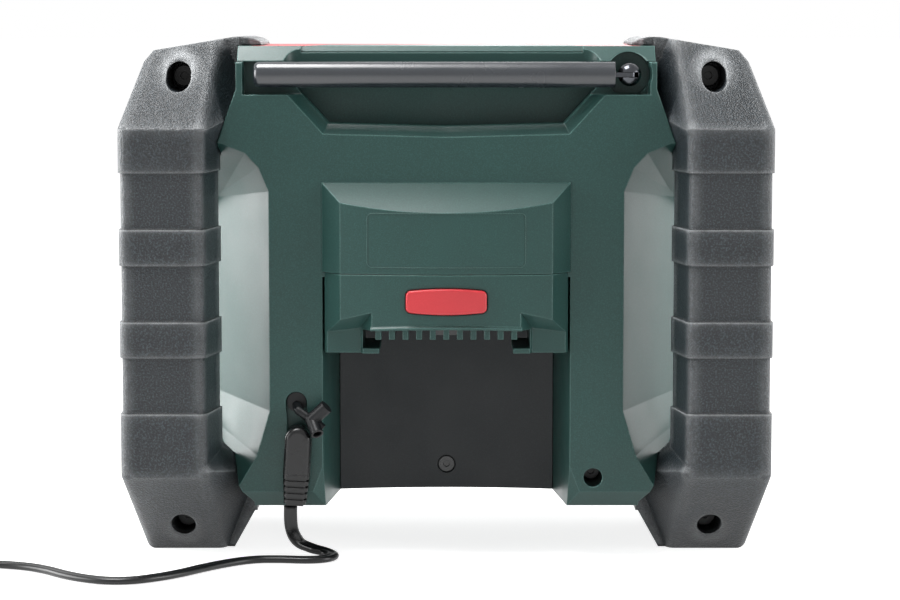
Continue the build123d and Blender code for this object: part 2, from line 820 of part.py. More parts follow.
def dock_cover_form(inset):
    form = dock_form(inset, dock_seam_z, dock_top_z - inset)
    slope = dock_top_slope / dock_rise
    deep = dock_rise + dock_bulge + 2
    cut = [(case_back_y - inset / 2, dock_top_z + 1 - inset), (case_back_y + deep, dock_top_z + 1 - inset),
           (case_back_y + deep, dock_top_z - slope * deep - inset), (case_back_y, dock_top_z - inset)]
    return form - prism("X", cut, -100, 100)


def dock_cover():
    floor = block(-beyond, beyond, 0, beyond, dock_seam_z - 1, dock_seam_z + wall)
    shell = dock_cover_form(0) - (dock_cover_form(wall) - floor)
    bosses = both_sides(bar("Y", 4, case_back_y, case_back_y + dock_rise + dock_bulge, 30, 150))
    return shell + (bosses & dock_cover_form(0))


def receiver_hood():
    """The bulged lower half of the dock, with a bead over its mouth and feet that slope in below."""
    hood = dock_form(0, dock_bottom_z, dock_seam_z - part_gap, dock_half - receiver_gap)
    return hood - both_sides(foot_cut()) + mouth_bead()


def foot_cut():
    """What the right foot lacks of the hood: a slanting face over an upright one."""
    face, corner = case_back_y + foot_face, case_back_y + dock_rise
    deep = corner + dock_bulge + 1
    low, high = dock_bottom_z - 8, dock_bottom_z + foot_corner_rise
    profile = [(face, low), (deep, low), (deep, high + foot_slope * (deep - corner)),
               (face, high - foot_slope * (corner - face))]
    cut = prism("X", profile, 0, 2 * dock_half)
    tilt = Pos(dock_face_half, 0, high) * Rot(0, degrees(atan(foot_fall)), 0) * Pos(-dock_face_half, 0, -high)
    inner = mouth_half + 1
    plan = [(inner, face), (2 * dock_half, face), (2 * dock_half, deep), (inner - 0.48 * (deep - face), deep)]
    return (tilt * cut) & prism("Z", plan, low - 20, dock_top_z)


def mouth_bead():
    """The raised bead that follows the mouth's arched upper edge."""
    half, y = lip_bead_half, case_back_y + dock_rise - 3
    top = mouth_top_z + lip_bead_height
    side = top - mouth_arch
    low = mouth_top_z - mouth_arch
    edges = [ThreePointArc((-half, y, side), (0, y, top), (half, y, side)),
             Line((half, y, side), (half, y, low)), Line((half, y, low), (-half, y, low)),
             Line((-half, y, low), (-half, y, side))]
    bead = extrude(Face(Wire(edges)), 20, dir=(0, 1, 0)) & bulge_cylinder(-lip_bead)
    rim = [e for e in bead.edges() if (e @ 0.5).Z > side and (e @ 0.5).Y > case_back_y + dock_rise + 1]
    return chamfer(rim, lip_bead * 0.95)


def mouth_void():
    """The battery's way in, under an arched lip."""
    deep = case_back_y + dock_rise + dock_bulge + 5
    lip = [(-mouth_half, 60), (mouth_half, 60), (mouth_half, mouth_top_z - mouth_arch),
           (mouth_half / 2, mouth_top_z - mouth_arch * 0.25), (0, mouth_top_z),
           (-mouth_half / 2, mouth_top_z - mouth_arch * 0.25), (-mouth_half, mouth_top_z - mouth_arch)]
    return prism("Y", lip, case_back_y - 47, deep)


def receiver_sleeve():
    """The part of the receiver inside the bay, which carries the rails."""
    slope = tan(radians(bay_draft_angle))
    low, high = dock_bottom_z, bay_top_z
    half = dock_half - receiver_gap
    depth = 44.0
    deep_half, deep_high = half - depth * slope, high - depth * slope
    return loft([face_at("Y", rectangle(-half, half, low, high - part_gap), case_back_y),
                 face_at("Y", rectangle(-deep_half, deep_half, low, deep_high - part_gap),
                         case_back_y - depth)], ruled=True)


def dock_receiver():
    body = receiver_hood() + receiver_sleeve()
    body -= mouth_void()
    inside_top = bay_top_z - 5.0
    body -= block(-mouth_half, mouth_half, case_back_y - 47, button_inner_y() - 4.5,
                  mouth_top_z - 8, inside_top - 3.5)
    for side in (-1, 1):
        edge = side * mouth_half
        body += block(min(edge, side * rail_half), max(edge, side * rail_half), case_back_y - 38,
                      case_back_y + 5, dock_bottom_z, dock_bottom_z + rail_thickness)
    for index in range(rib_count):
        x = (index - (rib_count - 1) / 2) * rib_pitch
        body += block(x - rib_width / 2, x + rib_width / 2, button_inner_y() - 4.5,
                      case_back_y + dock_rise + 1.5, mouth_top_z - rib_drop, mouth_top_z + 0.5)
    body -= button_shape(part_gap, button_inner_y() - 12, case_back_y + 30)
    body -= button_flange_space()
    body -= latch_space()
    body -= terminal_space()
    return body


def button_inner_y():
    """The inner side of the hood's wall, behind the button's flange."""
    return case_back_y + 1.0


def button_face(grow, y):
    half, tall = button_width / 2 + grow, button_height / 2 + grow
    side = tall - button_arch
    edges = [ThreePointArc((-half, y, button_z - side), (0, y, button_z - tall), (half, y, button_z - side)),
             Line((half, y, button_z - side), (half, y, button_z + side)),
             ThreePointArc((half, y, button_z + side), (0, y, button_z + tall), (-half, y, button_z + side)),
             Line((-half, y, button_z + side), (-half, y, button_z - side))]
    return Face(Wire(edges))


def button_shape(grow, start, end):
    solid = extrude(button_face(grow, start), end - start, dir=(0, 1, 0))
    upright = [e for e in solid.edges() if abs(abs((e % 0.5).Y) - 1) < 0.01]
    return fillet(upright, button_corner + grow)


def button_flange_space():
    half, tall = button_width / 2 + 2.5, button_height / 2 + 1.6
    low = button_inner_y() - 3.0
    return block(-half, half, low, button_inner_y() + button_flange + part_gap,
                 button_z - tall, button_z + tall)


def release_button():
    back = case_back_y + dock_rise + dock_bulge + button_proud
    start = button_inner_y() + button_flange
    button = button_shape(0, start - 0.1, back + 2)
    face = bulge_cylinder(-button_proud)
    button &= face
    rim = [e for e in button.edges() if (e @ 0.5).Y > case_back_y + dock_rise - 1 and abs((e % 0.5).Y) < 0.8]
    button = fillet(rim, 1.0)
    half, tall = button_width / 2 + 2.0, button_height / 2 + 1.2
    flange = block(-half, half, button_inner_y(), start, button_z - tall, button_z + tall)
    nose = block(-4, 4, button_inner_y() - button_nose, button_inner_y(), button_z - 3, button_z + 3)
    return button + flange + nose


def latch_space():
    """Slot for the latch plate behind the button, open to the battery's way in."""
    half = latch_width / 2 + part_gap
    y1 = button_inner_y() - 3.0
    return block(-half, half, y1 - latch_thickness - 2 * part_gap, y1 + 0.1, mouth_top_z - 9, button_z + 9)


def battery_latch():
    half = latch_width / 2
    y1 = button_inner_y() - 3.0 - part_gap
    plate = block(-half, half, y1 - latch_thickness, y1, mouth_top_z - 1.5, button_z + 5.5)
    hook = prism("X", [(y1 - latch_thickness, mouth_top_z - 4.5), (y1, mouth_top_z - 1.5),
                       (y1, mouth_top_z), (y1 - latch_thickness, mouth_top_z)], -half, half)
    return plate + hook


def release_spring():
    """Two coil springs, as plain tubes, between the button's flange and the hood's ledge."""
    y = button_inner_y()
    x = button_width / 2 - 2
    spring = None
    for side in (-1, 1):
        coil = bar("Y", 1.6, y - 2.9, y - 0.1, side * x * 0.8, button_z) \
            - bar("Y", 0.9, y - 3.5, y + 0.5, side * x * 0.8, button_z)
        spring = coil if spring is None else spring + coil
    return spring


def terminal_space():
    half = terminal_width / 2 + part_gap
    y0, y1 = terminal_ys()
    return block(-half, half, y0 - part_gap, y1 + part_gap, mouth_top_z - 10, bay_top_z + 1)


def terminal_ys():
    y0 = case_back_y - bay_depth + 6
    return y0, y0 + terminal_depth


def terminal_slot():
    """Hole in the bay's ceiling through which the terminal block's tails pass."""
    y0, y1 = terminal_ys()
    return block(-14, 14, y0 + 8, y0 + 14, bay_top_z - 12, bay_top_z + wall + 1)


def bay_ceiling_z(y):
    """Height of the drafted bay ceiling at a depth."""
    return bay_top_z - (case_back_y - y) * tan(radians(bay_draft_angle))


def terminal_block():
    y0, y1 = terminal_ys()
    top = bay_ceiling_z(y0)
    half = terminal_width / 2
    body = block(-half, half, y0, y1, top - terminal_height, top)
    for index in range(blade_count):
        x = (index - (blade_count - 1) / 2) * blade_pitch
        body -= block(x - blade_thickness, x + blade_thickness, y0 + 3, y1 - 3, top - terminal_height - 1,
                      top - 3)
    body -= block(-13, 13, y0 + 9, y0 + 13, top - 4, top + 1)
    return body


def contact_blades():
    y0, y1 = terminal_ys()
    top = bay_ceiling_z(y0)
    blades = []
    for index in range(blade_count):
        x = (index - (blade_count - 1) / 2) * blade_pitch
        blades.append(block(x - blade_thickness / 2, x + blade_thickness / 2, y0 + 5, y1 - 5,
                            top - terminal_height + 0.5, top - 3))
    return Compound(children=blades)


def bay_plate():
    slope = tan(radians(bay_draft_angle))
    thick = bay_plate_thin + bay_plate_hollow
    back_y = case_back_y - bay_depth
    low = case_bottom_z + 0.4
    half_back = bay_half - bay_depth * slope - 0.2
    half_deep = half_back - thick * slope
    high_back = bay_ceiling_z(back_y) - 0.2
    high_deep = bay_ceiling_z(back_y - thick) - 0.2
    plate = loft([face_at("Y", rectangle(-half_back, half_back, low, high_back), back_y),
                  face_at("Y", rectangle(-half_deep, half_deep, low, high_deep), back_y - thick)],
                 ruled=True)
    radius = (half_back ** 2 + bay_plate_hollow ** 2) / (2 * bay_plate_hollow)
    plate -= bar("Z", radius, 0, 200, 0, back_y - bay_plate_hollow + radius)
    plate -= bar("Y", case_screw_hole, plate_screw_seat(), back_y + 5, 0, bay_screw_z)
    plate -= bar("Y", case_screw_shank + 0.2, back_y - thick - 1, back_y, 0, bay_screw_z)
    return plate


def plate_screw_seat():
    return case_back_y - bay_depth - bay_plate_hollow - plate_screw_sink


# ---------------------------------------------------------------- DC inlet
def jack_slot(radius, y0, y1):
    """Upright slot with round ends for the inlet and the cap's tether."""
    slot = bar("Y", radius, y0, y1, jack_x, jack_z)
    slot += bar("Y", radius, y0, y1, jack_x + 1, jack_recess_top_z)
    return slot + prism("Y", [(jack_x - radius, jack_z), (jack_x + radius, jack_z),
                              (jack_x + 1 + radius, jack_recess_top_z),
                              (jack_x + 1 - radius, jack_recess_top_z)], y0, y1)


def jack_recess():
    return jack_slot(jack_recess_radius, case_back_y - jack_recess_depth, case_back_y + 1)


def jack_boss():
    """What the cover has round and below the recess."""
    deep = case_back_y - jack_recess_depth - jack_floor
    return jack_slot(jack_recess_radius + jack_floor, deep, case_back_y - 1)


def dc_jack():
    y1 = case_back_y - jack_recess_depth
    body = bar("Y", jack_radius, y1 - jack_length, y1, jack_x, jack_z)
    body -= bar("Y", jack_bore, y1 - jack_length + 2, y1 + 1, jack_x, jack_z)
    return body + bar("Y", 0.95, y1 - jack_length + 1, y1 - 1, jack_x, jack_z)


def between(start, end, radius, hollow=0.0):
    """A round bar from one point to another, bored from its far end."""
    direction = Vector(*end) - Vector(*start)
    plane = Plane(origin=Vector(*start), z_dir=direction.normalized())
    solid = plane * Pos(0, 0, direction.length / 2) * Cylinder(radius, direction.length)
    if hollow:
        solid -= plane * Pos(0, 0, direction.length - 2) * Cylinder(hollow, 4.2)
    return solid


def jack_cap():
    """Rubber cap on its tether, pulled out of the inlet and hanging beside the plug."""
    y = case_back_y - jack_recess_depth
    anchor = (jack_x + 1, y + 0.7, jack_recess_top_z - 1.5)
    knee = (jack_x - 0.2, case_back_y + 4.5, jack_recess_top_z - 3.0)
    hub = (jack_x - 6.3, case_back_y + 7.5, 64.4)
    cap = bar("Y", jack_recess_radius - 0.4, y + 0.2, y + 1.6, jack_x + 1, jack_recess_top_z)
    cap += between(anchor, knee, 2.0)
    cap += Pos(*knee) * Sphere(2.0)
    cap += between(knee, hub, 2.0)
    cap += Pos(*hub) * Sphere(3.0)
    cap += between(hub, (jack_x - 13.0, case_back_y + 9.0, 70.6), 3.2)
    cap += between(hub, (jack_x - 11.0, case_back_y + 8.5, 60.3), 2.4)
    cap += between(hub, (jack_x - 9.0, case_back_y + 12.5, 58.6), 2.9, 2.0)
    return cap


def plug_tilt(shape):
    """Leans the plug about the inlet's axis, its foot towards +X."""
    return Pos(jack_x, 0, jack_z) * Rot(0, -plug_lean, 0) * Pos(-jack_x, 0, -jack_z) * shape


def round_back(shape, level):
    """Rounds the upright edges at the plug's back."""
    edges = [e for e in shape.edges() if abs(abs((e % 0.5).Z) - 1) < 0.01 and (e @ 0.5).Y > level - 0.1]
    return fillet(edges, plug_round)


def dc_plug():
    y0 = case_back_y + part_gap
    y1 = y0 + plug_thickness
    half = plug_width / 2
    body = bar("Y", half, y0, y1, jack_x, plug_top_z - half)
    body += block(jack_x - half, jack_x + half, y0, y1, plug_rib_z, plug_top_z - half)
    back = [e for e in body.edges() if (e @ 0.5).Y > y1 - 0.01 and (e @ 0.5).Z > plug_rib_z + 1]
    body = fillet(back, plug_round)
    neck = [(jack_x - half + 1, y0 + 0.5), (jack_x + half - 1, y0 + 0.5),
            (jack_x + half - 1, y1 - 1), (jack_x - half + 1, y1 - 1)]
    body += taper("Z", neck, plug_rib_z, plug_bottom_z, 1.0)
    pitch = (plug_rib_z - plug_bottom_z) / plug_rib_count
    for index in range(plug_rib_count):
        low = plug_rib_z - (index + 1) * pitch + 0.9
        outline = offset_outline(rectangle(jack_x - half, jack_x + half, y0, y1), -plug_rib_shrink * index)
        rib = prism("Z", outline, low, low + pitch - 1.0)
        body += round_back(rib, y1 - plug_rib_shrink * index)
    return plug_tilt(body)


def dc_plug_barrel():
    y0 = case_back_y + part_gap
    barrel = bar("Y", plug_pin_radius, y0 - jack_recess_depth - plug_pin_length, y0, jack_x, jack_z)
    return barrel - bar("Y", 1.15, y0 - 30, y0 - 1, jack_x, jack_z)


# ---------------------------------------------------------------- antenna
def scoop_floor_y():
    """Floor of the scoop that the swivel base stands in."""
    return channel_floor_y - scoop_sink


def antenna_base():
    """Slotted ball on a shaft that turns in the channel's floor."""
    x, y, z = antenna_pivot_x, antenna_pivot_y, antenna_pivot_z
    base = Pos(x, y, z) * Sphere(ball_radius)
    base += bar("Y", 4.4, scoop_floor_y() + part_gap, y - 2, x, z)
    shaft_end = scoop_floor_y() - wall - nut_thickness - 2
    base += bar("Y", swivel_shaft_radius, shaft_end, scoop_floor_y() + 1, x, z)
    gap = tongue_thickness / 2 + 0.2
    reach = tongue_radius + 0.4
    slot = bar("Z", reach, z - gap, z + gap, x, y)
    slot += block(x - reach, x + 12, y, y + 12, z - gap, z + gap)
    slot += block(x, x + 12, y - reach, y + 12, z - gap, z + gap)
    base -= slot
    return base - bar("Z", antenna_pin_radius + 0.01, z - 9, z + 9, x, y)


def antenna_nut():
    x, z = antenna_pivot_x, antenna_pivot_z
    face = scoop_floor_y() - wall - part_gap
    nut = bar("Y", nut_radius, face - nut_thickness, face, x, z)
    return nut - bar("Y", swivel_shaft_radius + 0.01, 0, 90, x, z)


def antenna_pin():
    x, y, z = antenna_pivot_x, antenna_pivot_y, antenna_pivot_z
    half = ball_radius - 0.5
    return bar("Z", antenna_pin_radius, z - half, z + half, x, y)


def antenna_tongue():
    x, y, z = antenna_pivot_x, antenna_pivot_y, antenna_pivot_z
    half = tongue_thickness / 2
    tongue = bar("Z", tongue_radius, z - half, z + half, x, y)
    tongue += block(x, x + antenna_neck + 6, y - tongue_radius + 0.2, y + tongue_radius - 0.2,
                    z - half, z + half)
    return tongue - bar("Z", antenna_pin_radius + running_gap, z - 5, z + 5, x, y)


def antenna_sleeve():
    x, y, z = antenna_pivot_x, antenna_pivot_y, antenna_pivot_z
    start = x + antenna_neck
    rod = bar("X", antenna_radius, start, antenna_tip_x, y, z)
    ends = [e for e in rod.edges() if e.geom_type == GeomType.CIRCLE]
    tip = max(ends, key=lambda e: (e @ 0).X)
    butt = min(ends, key=lambda e: (e @ 0).X)
    rod = fillet([tip], 2.5)
    rod -= block(start - 1, start + 6.05, y - tongue_radius + 0.15, y + tongue_radius - 0.15,
                 z - tongue_thickness / 2 - 0.05, z + tongue_thickness / 2 + 0.05)
    return rod


# ---------------------------------------------------------------- loudspeakers
def speaker_y():
    """Front of a loudspeaker's flange, against the front wall's inner side."""
    return case_front_y + wall


def at_speaker(shape, side):
    """Moves a shape built round the Y axis to its loudspeaker."""
    return Pos(side * speaker_x, speaker_y(), speaker_z) * shape


def revolved(points):
    """A ring or disc of revolution about the Y axis, from (radius, y) points."""
    face = Face(Wire.make_polygon([(r, y, 0) for r, y in points], close=True))
    return revolve(face, Axis.Y, 360)


def speaker_basket(side):
    deep = speaker_depth - magnet_thickness
    basket = revolved([(cone_radius + surround_width, 0), (speaker_radius, 0),
                       (speaker_radius, speaker_flange), (cone_radius + 3, speaker_flange + 1),
                       (magnet_radius - 2, deep), (8, deep), (8, deep - 1.6), (magnet_radius - 4, deep - 1.6),
                       (cone_radius, speaker_flange + 1),
                       (cone_radius + surround_width, speaker_flange - 0.6)])
    for index in range(4):
        opening = Pos(0, 12, 0) * Rot(0, 45 + 90 * index, 0) * Pos(26, 0, 0) * Box(22, 10, 16)
        basket -= opening
    return at_speaker(basket, side)


def speaker_cone(side):
    top = 1.4
    cone = revolved([(cone_radius - 0.5, top), (10, 13), (10, 12), (0, 9.5), (0, 10.7), (9, 14), (9, 15.5),
                     (10.5, 15.5), (cone_radius - 0.5, top + 1.2)])
    return at_speaker(cone, side)


def speaker_surround(side):
    outer, inner = cone_radius + surround_width - 0.1, cone_radius - 0.45
    middle = (outer + inner) / 2
    ring = revolved([(outer, 0.2), (middle + 1, -1.6), (middle - 1, -1.6), (inner, 1.3), (inner, 2.3),
                     (middle - 1, -0.7), (middle + 1, -0.7), (outer, 1.2)])
    return at_speaker(ring, side)


def speaker_magnet(side):
    deep = speaker_depth - magnet_thickness
    magnet = bar("Y", magnet_radius, deep, speaker_depth) - bar("Y", 4, deep - 1, deep + 4)
    magnet += bar("Y", 7.5, deep - 4.5, deep + 0.5) - bar("Y", 4, deep - 6, deep + 0.6)
    return at_speaker(magnet, side)


def speaker_grille(side):
    """Pressed steel disc with a raised middle and a row of slots, set into the front."""
    rim, flat = grille_thickness, grille_radius - grille_rim
    disc = revolved([(0, -rim - grille_rise), (flat - grille_rise, -rim - grille_rise), (flat, -rim),
                     (grille_radius, -rim), (grille_radius, 0), (flat - 1, 0),
                     (flat - 1 - grille_rise, -grille_rise), (0, -grille_rise)])
    reach = flat - 1.5 - grille_rise
    count = int(reach / grille_slot_pitch)
    for index in range(-count, count + 1):
        z = index * grille_slot_pitch
        half = sqrt(reach ** 2 - z ** 2) - 1
        disc -= Pos(0, 0, z) * Box(2 * half, 30, grille_slot)
    return Pos(side * speaker_x, case_front_y + grille_thickness, speaker_z) * disc


# ---------------------------------------------------------------- control panel
def panel_outline():
    c, half = panel_corner, panel_half
    return [(-half + c, panel_bottom_z), (half - c, panel_bottom_z), (half, panel_bottom_z + c),
            (half, panel_top_z - c), (half - c, panel_top_z), (-half + c, panel_top_z),
            (-half, panel_top_z - c), (-half, panel_bottom_z + c)]


def panel_plate(grow):
    return prism("Y", offset_outline(panel_outline(), grow), case_front_y - (1 if grow else 0),
                 case_front_y + panel_thickness)


def key_places():
    middle = (len(key_names) - 1) / 2
    return [(name, (index - middle) * key_pitch) for index, name in enumerate(key_names)]


def key_outline(x, grow):
    half, tall = key_width / 2 + grow, key_height / 2 + grow
    return rectangle(x - half, x + half, key_z - tall, key_z + tall)


def control_panel():
    plate = panel_plate(0)
    lens = rectangle(-display_width / 2, display_width / 2, display_z - display_height / 2,
                     display_z + display_height / 2)
    y0, y1 = case_front_y, case_front_y + panel_thickness
    plate -= prism("Y", offset_outline(lens, 0.1), y0 - 1, y0 + lens_thickness)
    plate -= prism("Y", offset_outline(lens, -2), y0 - 1, y1 + 1)
    for _, x in key_places():
        plate -= prism("Y", key_outline(x, part_gap), y0 - 1, y1 + 1)
    for side in (-1, 1):
        plate -= bar("Y", 5.0, y0 - 1, y1 + 1, side * knob_x, knob_z)
        for z in (key_z - 4, panel_top_z - 14):
            plate += bar("Y", 3.0, y1, control_board_y, side * (panel_half - 12), z)
    return plate


def display_lens():
    lens = rectangle(-display_width / 2, display_width / 2, display_z - display_height / 2,
                     display_z + display_height / 2)
    return prism("Y", lens, case_front_y, case_front_y + lens_thickness)


def display_module():
    half, tall = display_width / 2 - 2.5, display_height / 2 - 2.5
    y0 = case_front_y + panel_thickness + 0.2
    frame = block(-half, half, y0, control_board_y, display_z - tall, display_z + tall)
    return frame - block(-half + 3, half - 3, y0 - 1, y0 + 1.0, display_z - tall + 3, display_z + tall - 3)


def control_board():
    y0 = control_board_y
    half = panel_half - panel_ledge - 0.5
    return block(-half, half, y0, y0 + board_thickness, panel_bottom_z + panel_ledge + 1,
                 panel_top_z - panel_ledge - 1)


def key_switches():
    """The five small switch bodies on the control board."""
    switches = []
    for _, x in key_places():
        top = key_stem_y() + key_travel + 0.2
        switches.append(block(x - 3, x + 3, top, control_board_y, key_z - 3, key_z + 3))
    return Compound(children=switches)


def key_stem_y():
    return case_front_y + panel_thickness + 5.0


def push_key(x):
    """A cap with a flange that holds it behind the panel, and a stem."""
    y0 = case_front_y - key_proud
    flange_y = case_front_y + panel_thickness + 0.2
    cap = prism("Y", key_outline(x, 0), y0, flange_y)
    rim = [e for e in cap.edges() if abs((e @ 0.5).Y - y0) < 0.01]
    cap = fillet(rim, 0.8)
    half, tall = key_width / 2 + 1.2, key_height / 2 + 1.2
    cap += block(x - half, x + half, flange_y, flange_y + 1.0, key_z - tall, key_z + tall)
    return cap + bar("Y", 1.6, flange_y + 0.5, key_stem_y(), x, key_z)


def encoders():
    """The two rotary controls' bodies and threaded necks, fixed to the control board."""
    items = []
    for side in (-1, 1):
        x = side * knob_x
        body = block(x - 6.5, x + 6.5, control_board_y - 7, control_board_y, knob_z - 6.5, knob_z + 6.5)
        body += bar("Y", 4.6, case_front_y + 0.6, control_board_y - 6, x, knob_z)
        body -= bar("Y", encoder_shaft_radius + running_gap, case_front_y - 1, control_board_y - 3, x, knob_z)
        items.append(body)
    return Compound(children=items)


def knob(side):
    """Fluted knob with its shaft, which turns in the encoder's neck."""
    x = side * knob_x
    back = case_front_y - part_gap - 0.2
    front = back - knob_length
    cap = bar("Y", knob_radius, front, back, x, knob_z)
    rim = [e for e in cap.edges() if e.geom_type == GeomType.CIRCLE and abs((e @ 0).Y - front) < 0.01]
    cap = chamfer(rim, 1.4)
    for index in range(flute_count):
        angle = 2 * pi * index / flute_count
        cap -= bar("Y", flute_radius, front - 1, back - 2.0, x + (knob_radius + 0.5) * cos(angle),
                   knob_z + (knob_radius + 0.5) * sin(angle))
    cap -= bar("Y", knob_radius - 4, front - 1, front + 0.8, x, knob_z)
    cap += block(x - 0.8, x + 0.8, front, front + 1.0, knob_z + knob_radius - 9, knob_z + knob_radius - 4.5)
    return cap + bar("Y", encoder_shaft_radius, back - 1, control_board_y - 4, x, knob_z)


# ---------------------------------------------------------------- inside
def standoff_places():
    x, low, high = main_board_half - 6, main_board_bottom_z + 5, main_board_top_z - 5
    return [(-x, low), (x, low), (-x, high), (x, high)]


def main_board():
    y = main_board_y
    board = block(-main_board_half, main_board_half, y, y + board_thickness,
                  main_board_bottom_z, main_board_top_z)
    return board


def board_parts():
    """The large parts on the main board: capacitors, coils and chips."""
    y = main_board_y
    low = main_board_bottom_z
    items = [bar("Y", 5, y - 14, y, -40, low + 14), bar("Y", 5, y - 14, y, -28, low + 14),
             bar("Y", 7, y - 18, y, -46, low + 32), bar("Y", 6, y - 6, y, -22, low + 34),
             block(8, 22, y - 2, y, low + 12, low + 26), block(30, 50, y - 3, y, low + 28, low + 42)]
    return Compound(children=items)


def heat_sink():
    y = main_board_y
    low = main_board_bottom_z
    sink = block(-12, 2, y - 16, y, low + 22, low + 26)
    for index in range(5):
        z = low + 26 + index * 3
        sink += block(-12, 2, y - 16, y - 3, z, z + 1.2)
    spine = block(-6, -4, y - 16, y - 3, low + 24, low + 40)
    return sink + spine


# ---------------------------------------------------------------- supply lead
route = [
    (70.1, 71.0, 25.2), (70.3, 70.8, 18.5), (69.4, 68.6, 12.0), (66.6, 64.4, 7.0),
    (61.4, 60.0, 3.6), (54.0, 60.8, 2.2), (50.6, 68.4, 2.2), (54.2, 76.0, 2.2),
    (62.5, 78.4, 2.2), (74.0, 76.0, 2.2), (88.0, 76.6, 2.2), (104.0, 91.5, 2.2),
    (121.0, 115.0, 2.2), (141.0, 128.0, 2.2), (162.0, 117.5, 2.2), (180.0, 95.5, 2.2),
    (199.0, 87.5, 2.2), (224.0, 84.0, 2.2), (coil_x, coil_y + coil_mean_radius, 2.2),
]
tail_route = [
    (coil_x + coil_mean_radius, coil_y - 12, 5.0), (coil_x + coil_mean_radius - 0.4, coil_y - 26, 5.6),
    (adapter_x + 0.3, adapter_back_y + 18, 9.6), (adapter_x, adapter_back_y + 7, 11.0),
]


def corner_radii(points):
    """As large an arc at each corner as its two runs allow."""
    radii = []
    for before, corner, after in zip(points, points[1:], points[2:]):
        into, out = Vector(*corner) - Vector(*before), Vector(*after) - Vector(*corner)
        turn = radians(into.get_angle(out))
        radii.append(0.45 * min(into.length, out.length) / tan(turn / 2))
    return radii


def round_tube(points):
    radii = corner_radii(points)
    path = FilletPolyline(*points, radius=radii)
    start = Plane(origin=path @ 0, z_dir=path % 0)
    tube = sweep(start * Circle(cord_radius), path=path)
    share = tube.volume / (pi * cord_radius ** 2 * path.length)
    print("cord radii", [round(r, 1) for r in radii])
    print("cord length", round(path.length, 1), "volume share", round(share, 4))
    return tube


def power_cord():
    return round_tube(route)


def cord_coil():
    inner, outer = coil_mean_radius - coil_half_width, coil_mean_radius + coil_half_width
    ring = bar("Z", outer, 0.05, coil_height, coil_x, coil_y)
    ring -= bar("Z", inner, -1, coil_height + 1, coil_x, coil_y)
    return ring


def cord_tail():
    """The last stretch of the lead, from the coil to the adapter's collar."""
    return round_tube(tail_route)


def adapter():
    half = adapter_width / 2
    front = adapter_back_y - adapter_length
    body = block(adapter_x - half, adapter_x + half, front, adapter_back_y, 0.05, adapter_height)
    upright = [e for e in body.edges() if abs(abs((e % 0.5).Y) - 1) < 0.01]
    body = fillet(upright, 4)
    collar = bar("Y", 3.6, adapter_back_y - 0.5, adapter_back_y + 8, adapter_x, 11.0)
    return body + collar


def adapter_prongs():
    front = adapter_back_y - adapter_length
    z = adapter_height / 2
    return Compound(children=[bar("Y", prong_radius, front - prong_length, front,
                                  adapter_x + side * prong_pitch / 2, z) for side in (-1, 1)])


# ---------------------------------------------------------------- all nodes
def nodes():
    right_ring = right_bumper()
    made = {
        "rear_cover": rear_cover(),
        "front_cover": front_cover(),
        "case_seal": case_seal(),
        "top_trim": top_trim(),
        "right_bumper": right_ring,
        "left_bumper": mirror(right_ring, about=Plane.YZ),
        "bumper_screws": bumper_screws(),
        "case_screws": case_screws(),
        "dock_cover": dock_cover(),
        "dock_receiver": dock_receiver(),
        "release_button": release_button(),
        "release_spring": release_spring(),
        "battery_latch": battery_latch(),
        "terminal_block": terminal_block(),
        "contact_blades": contact_blades(),
        "bay_plate": bay_plate(),
        "dc_jack": dc_jack(),
        "jack_cap": jack_cap(),
        "antenna_base": antenna_base(),
        "antenna_pin": antenna_pin(),
        "antenna_nut": antenna_nut(),
        "antenna_tongue": antenna_tongue(),
        "antenna_sleeve": antenna_sleeve(),
        "control_panel": control_panel(),
        "display_lens": display_lens(),
        "display_module": display_module(),
        "control_board": control_board(),
        "key_switches": key_switches(),
        "encoders": encoders(),
        "volume_knob": knob(-1),
        "tuning_knob": knob(1),
        "main_board": main_board(),
        "board_parts": board_parts(),
        "heat_sink": heat_sink(),
        "dc_plug": dc_plug(),
        "dc_plug_barrel": dc_plug_barrel(),
        "power_cord": power_cord(),
        "cord_coil": cord_coil(),
        "cord_tail": cord_tail(),
        "adapter": adapter(),
        "adapter_prongs": adapter_prongs(),
    }
    for side, name in ((-1, "left"), (1, "right")):
        made[name + "_speaker_basket"] = speaker_basket(side)
        made[name + "_speaker_cone"] = speaker_cone(side)
        made[name + "_speaker_surround"] = speaker_surround(side)
        made[name + "_speaker_magnet"] = speaker_magnet(side)
        made[name + "_speaker_grille"] = speaker_grille(side)
    for name, x in key_places():
        made[name] = push_key(x)
    return made


def main():
    os.makedirs("parts", exist_ok=True)
    for name, shape in nodes().items():
        export_step(shape, "parts/" + name + ".step")


if __name__ == "__main__":
    main()
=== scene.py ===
"""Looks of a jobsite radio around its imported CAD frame."""

import json
import math

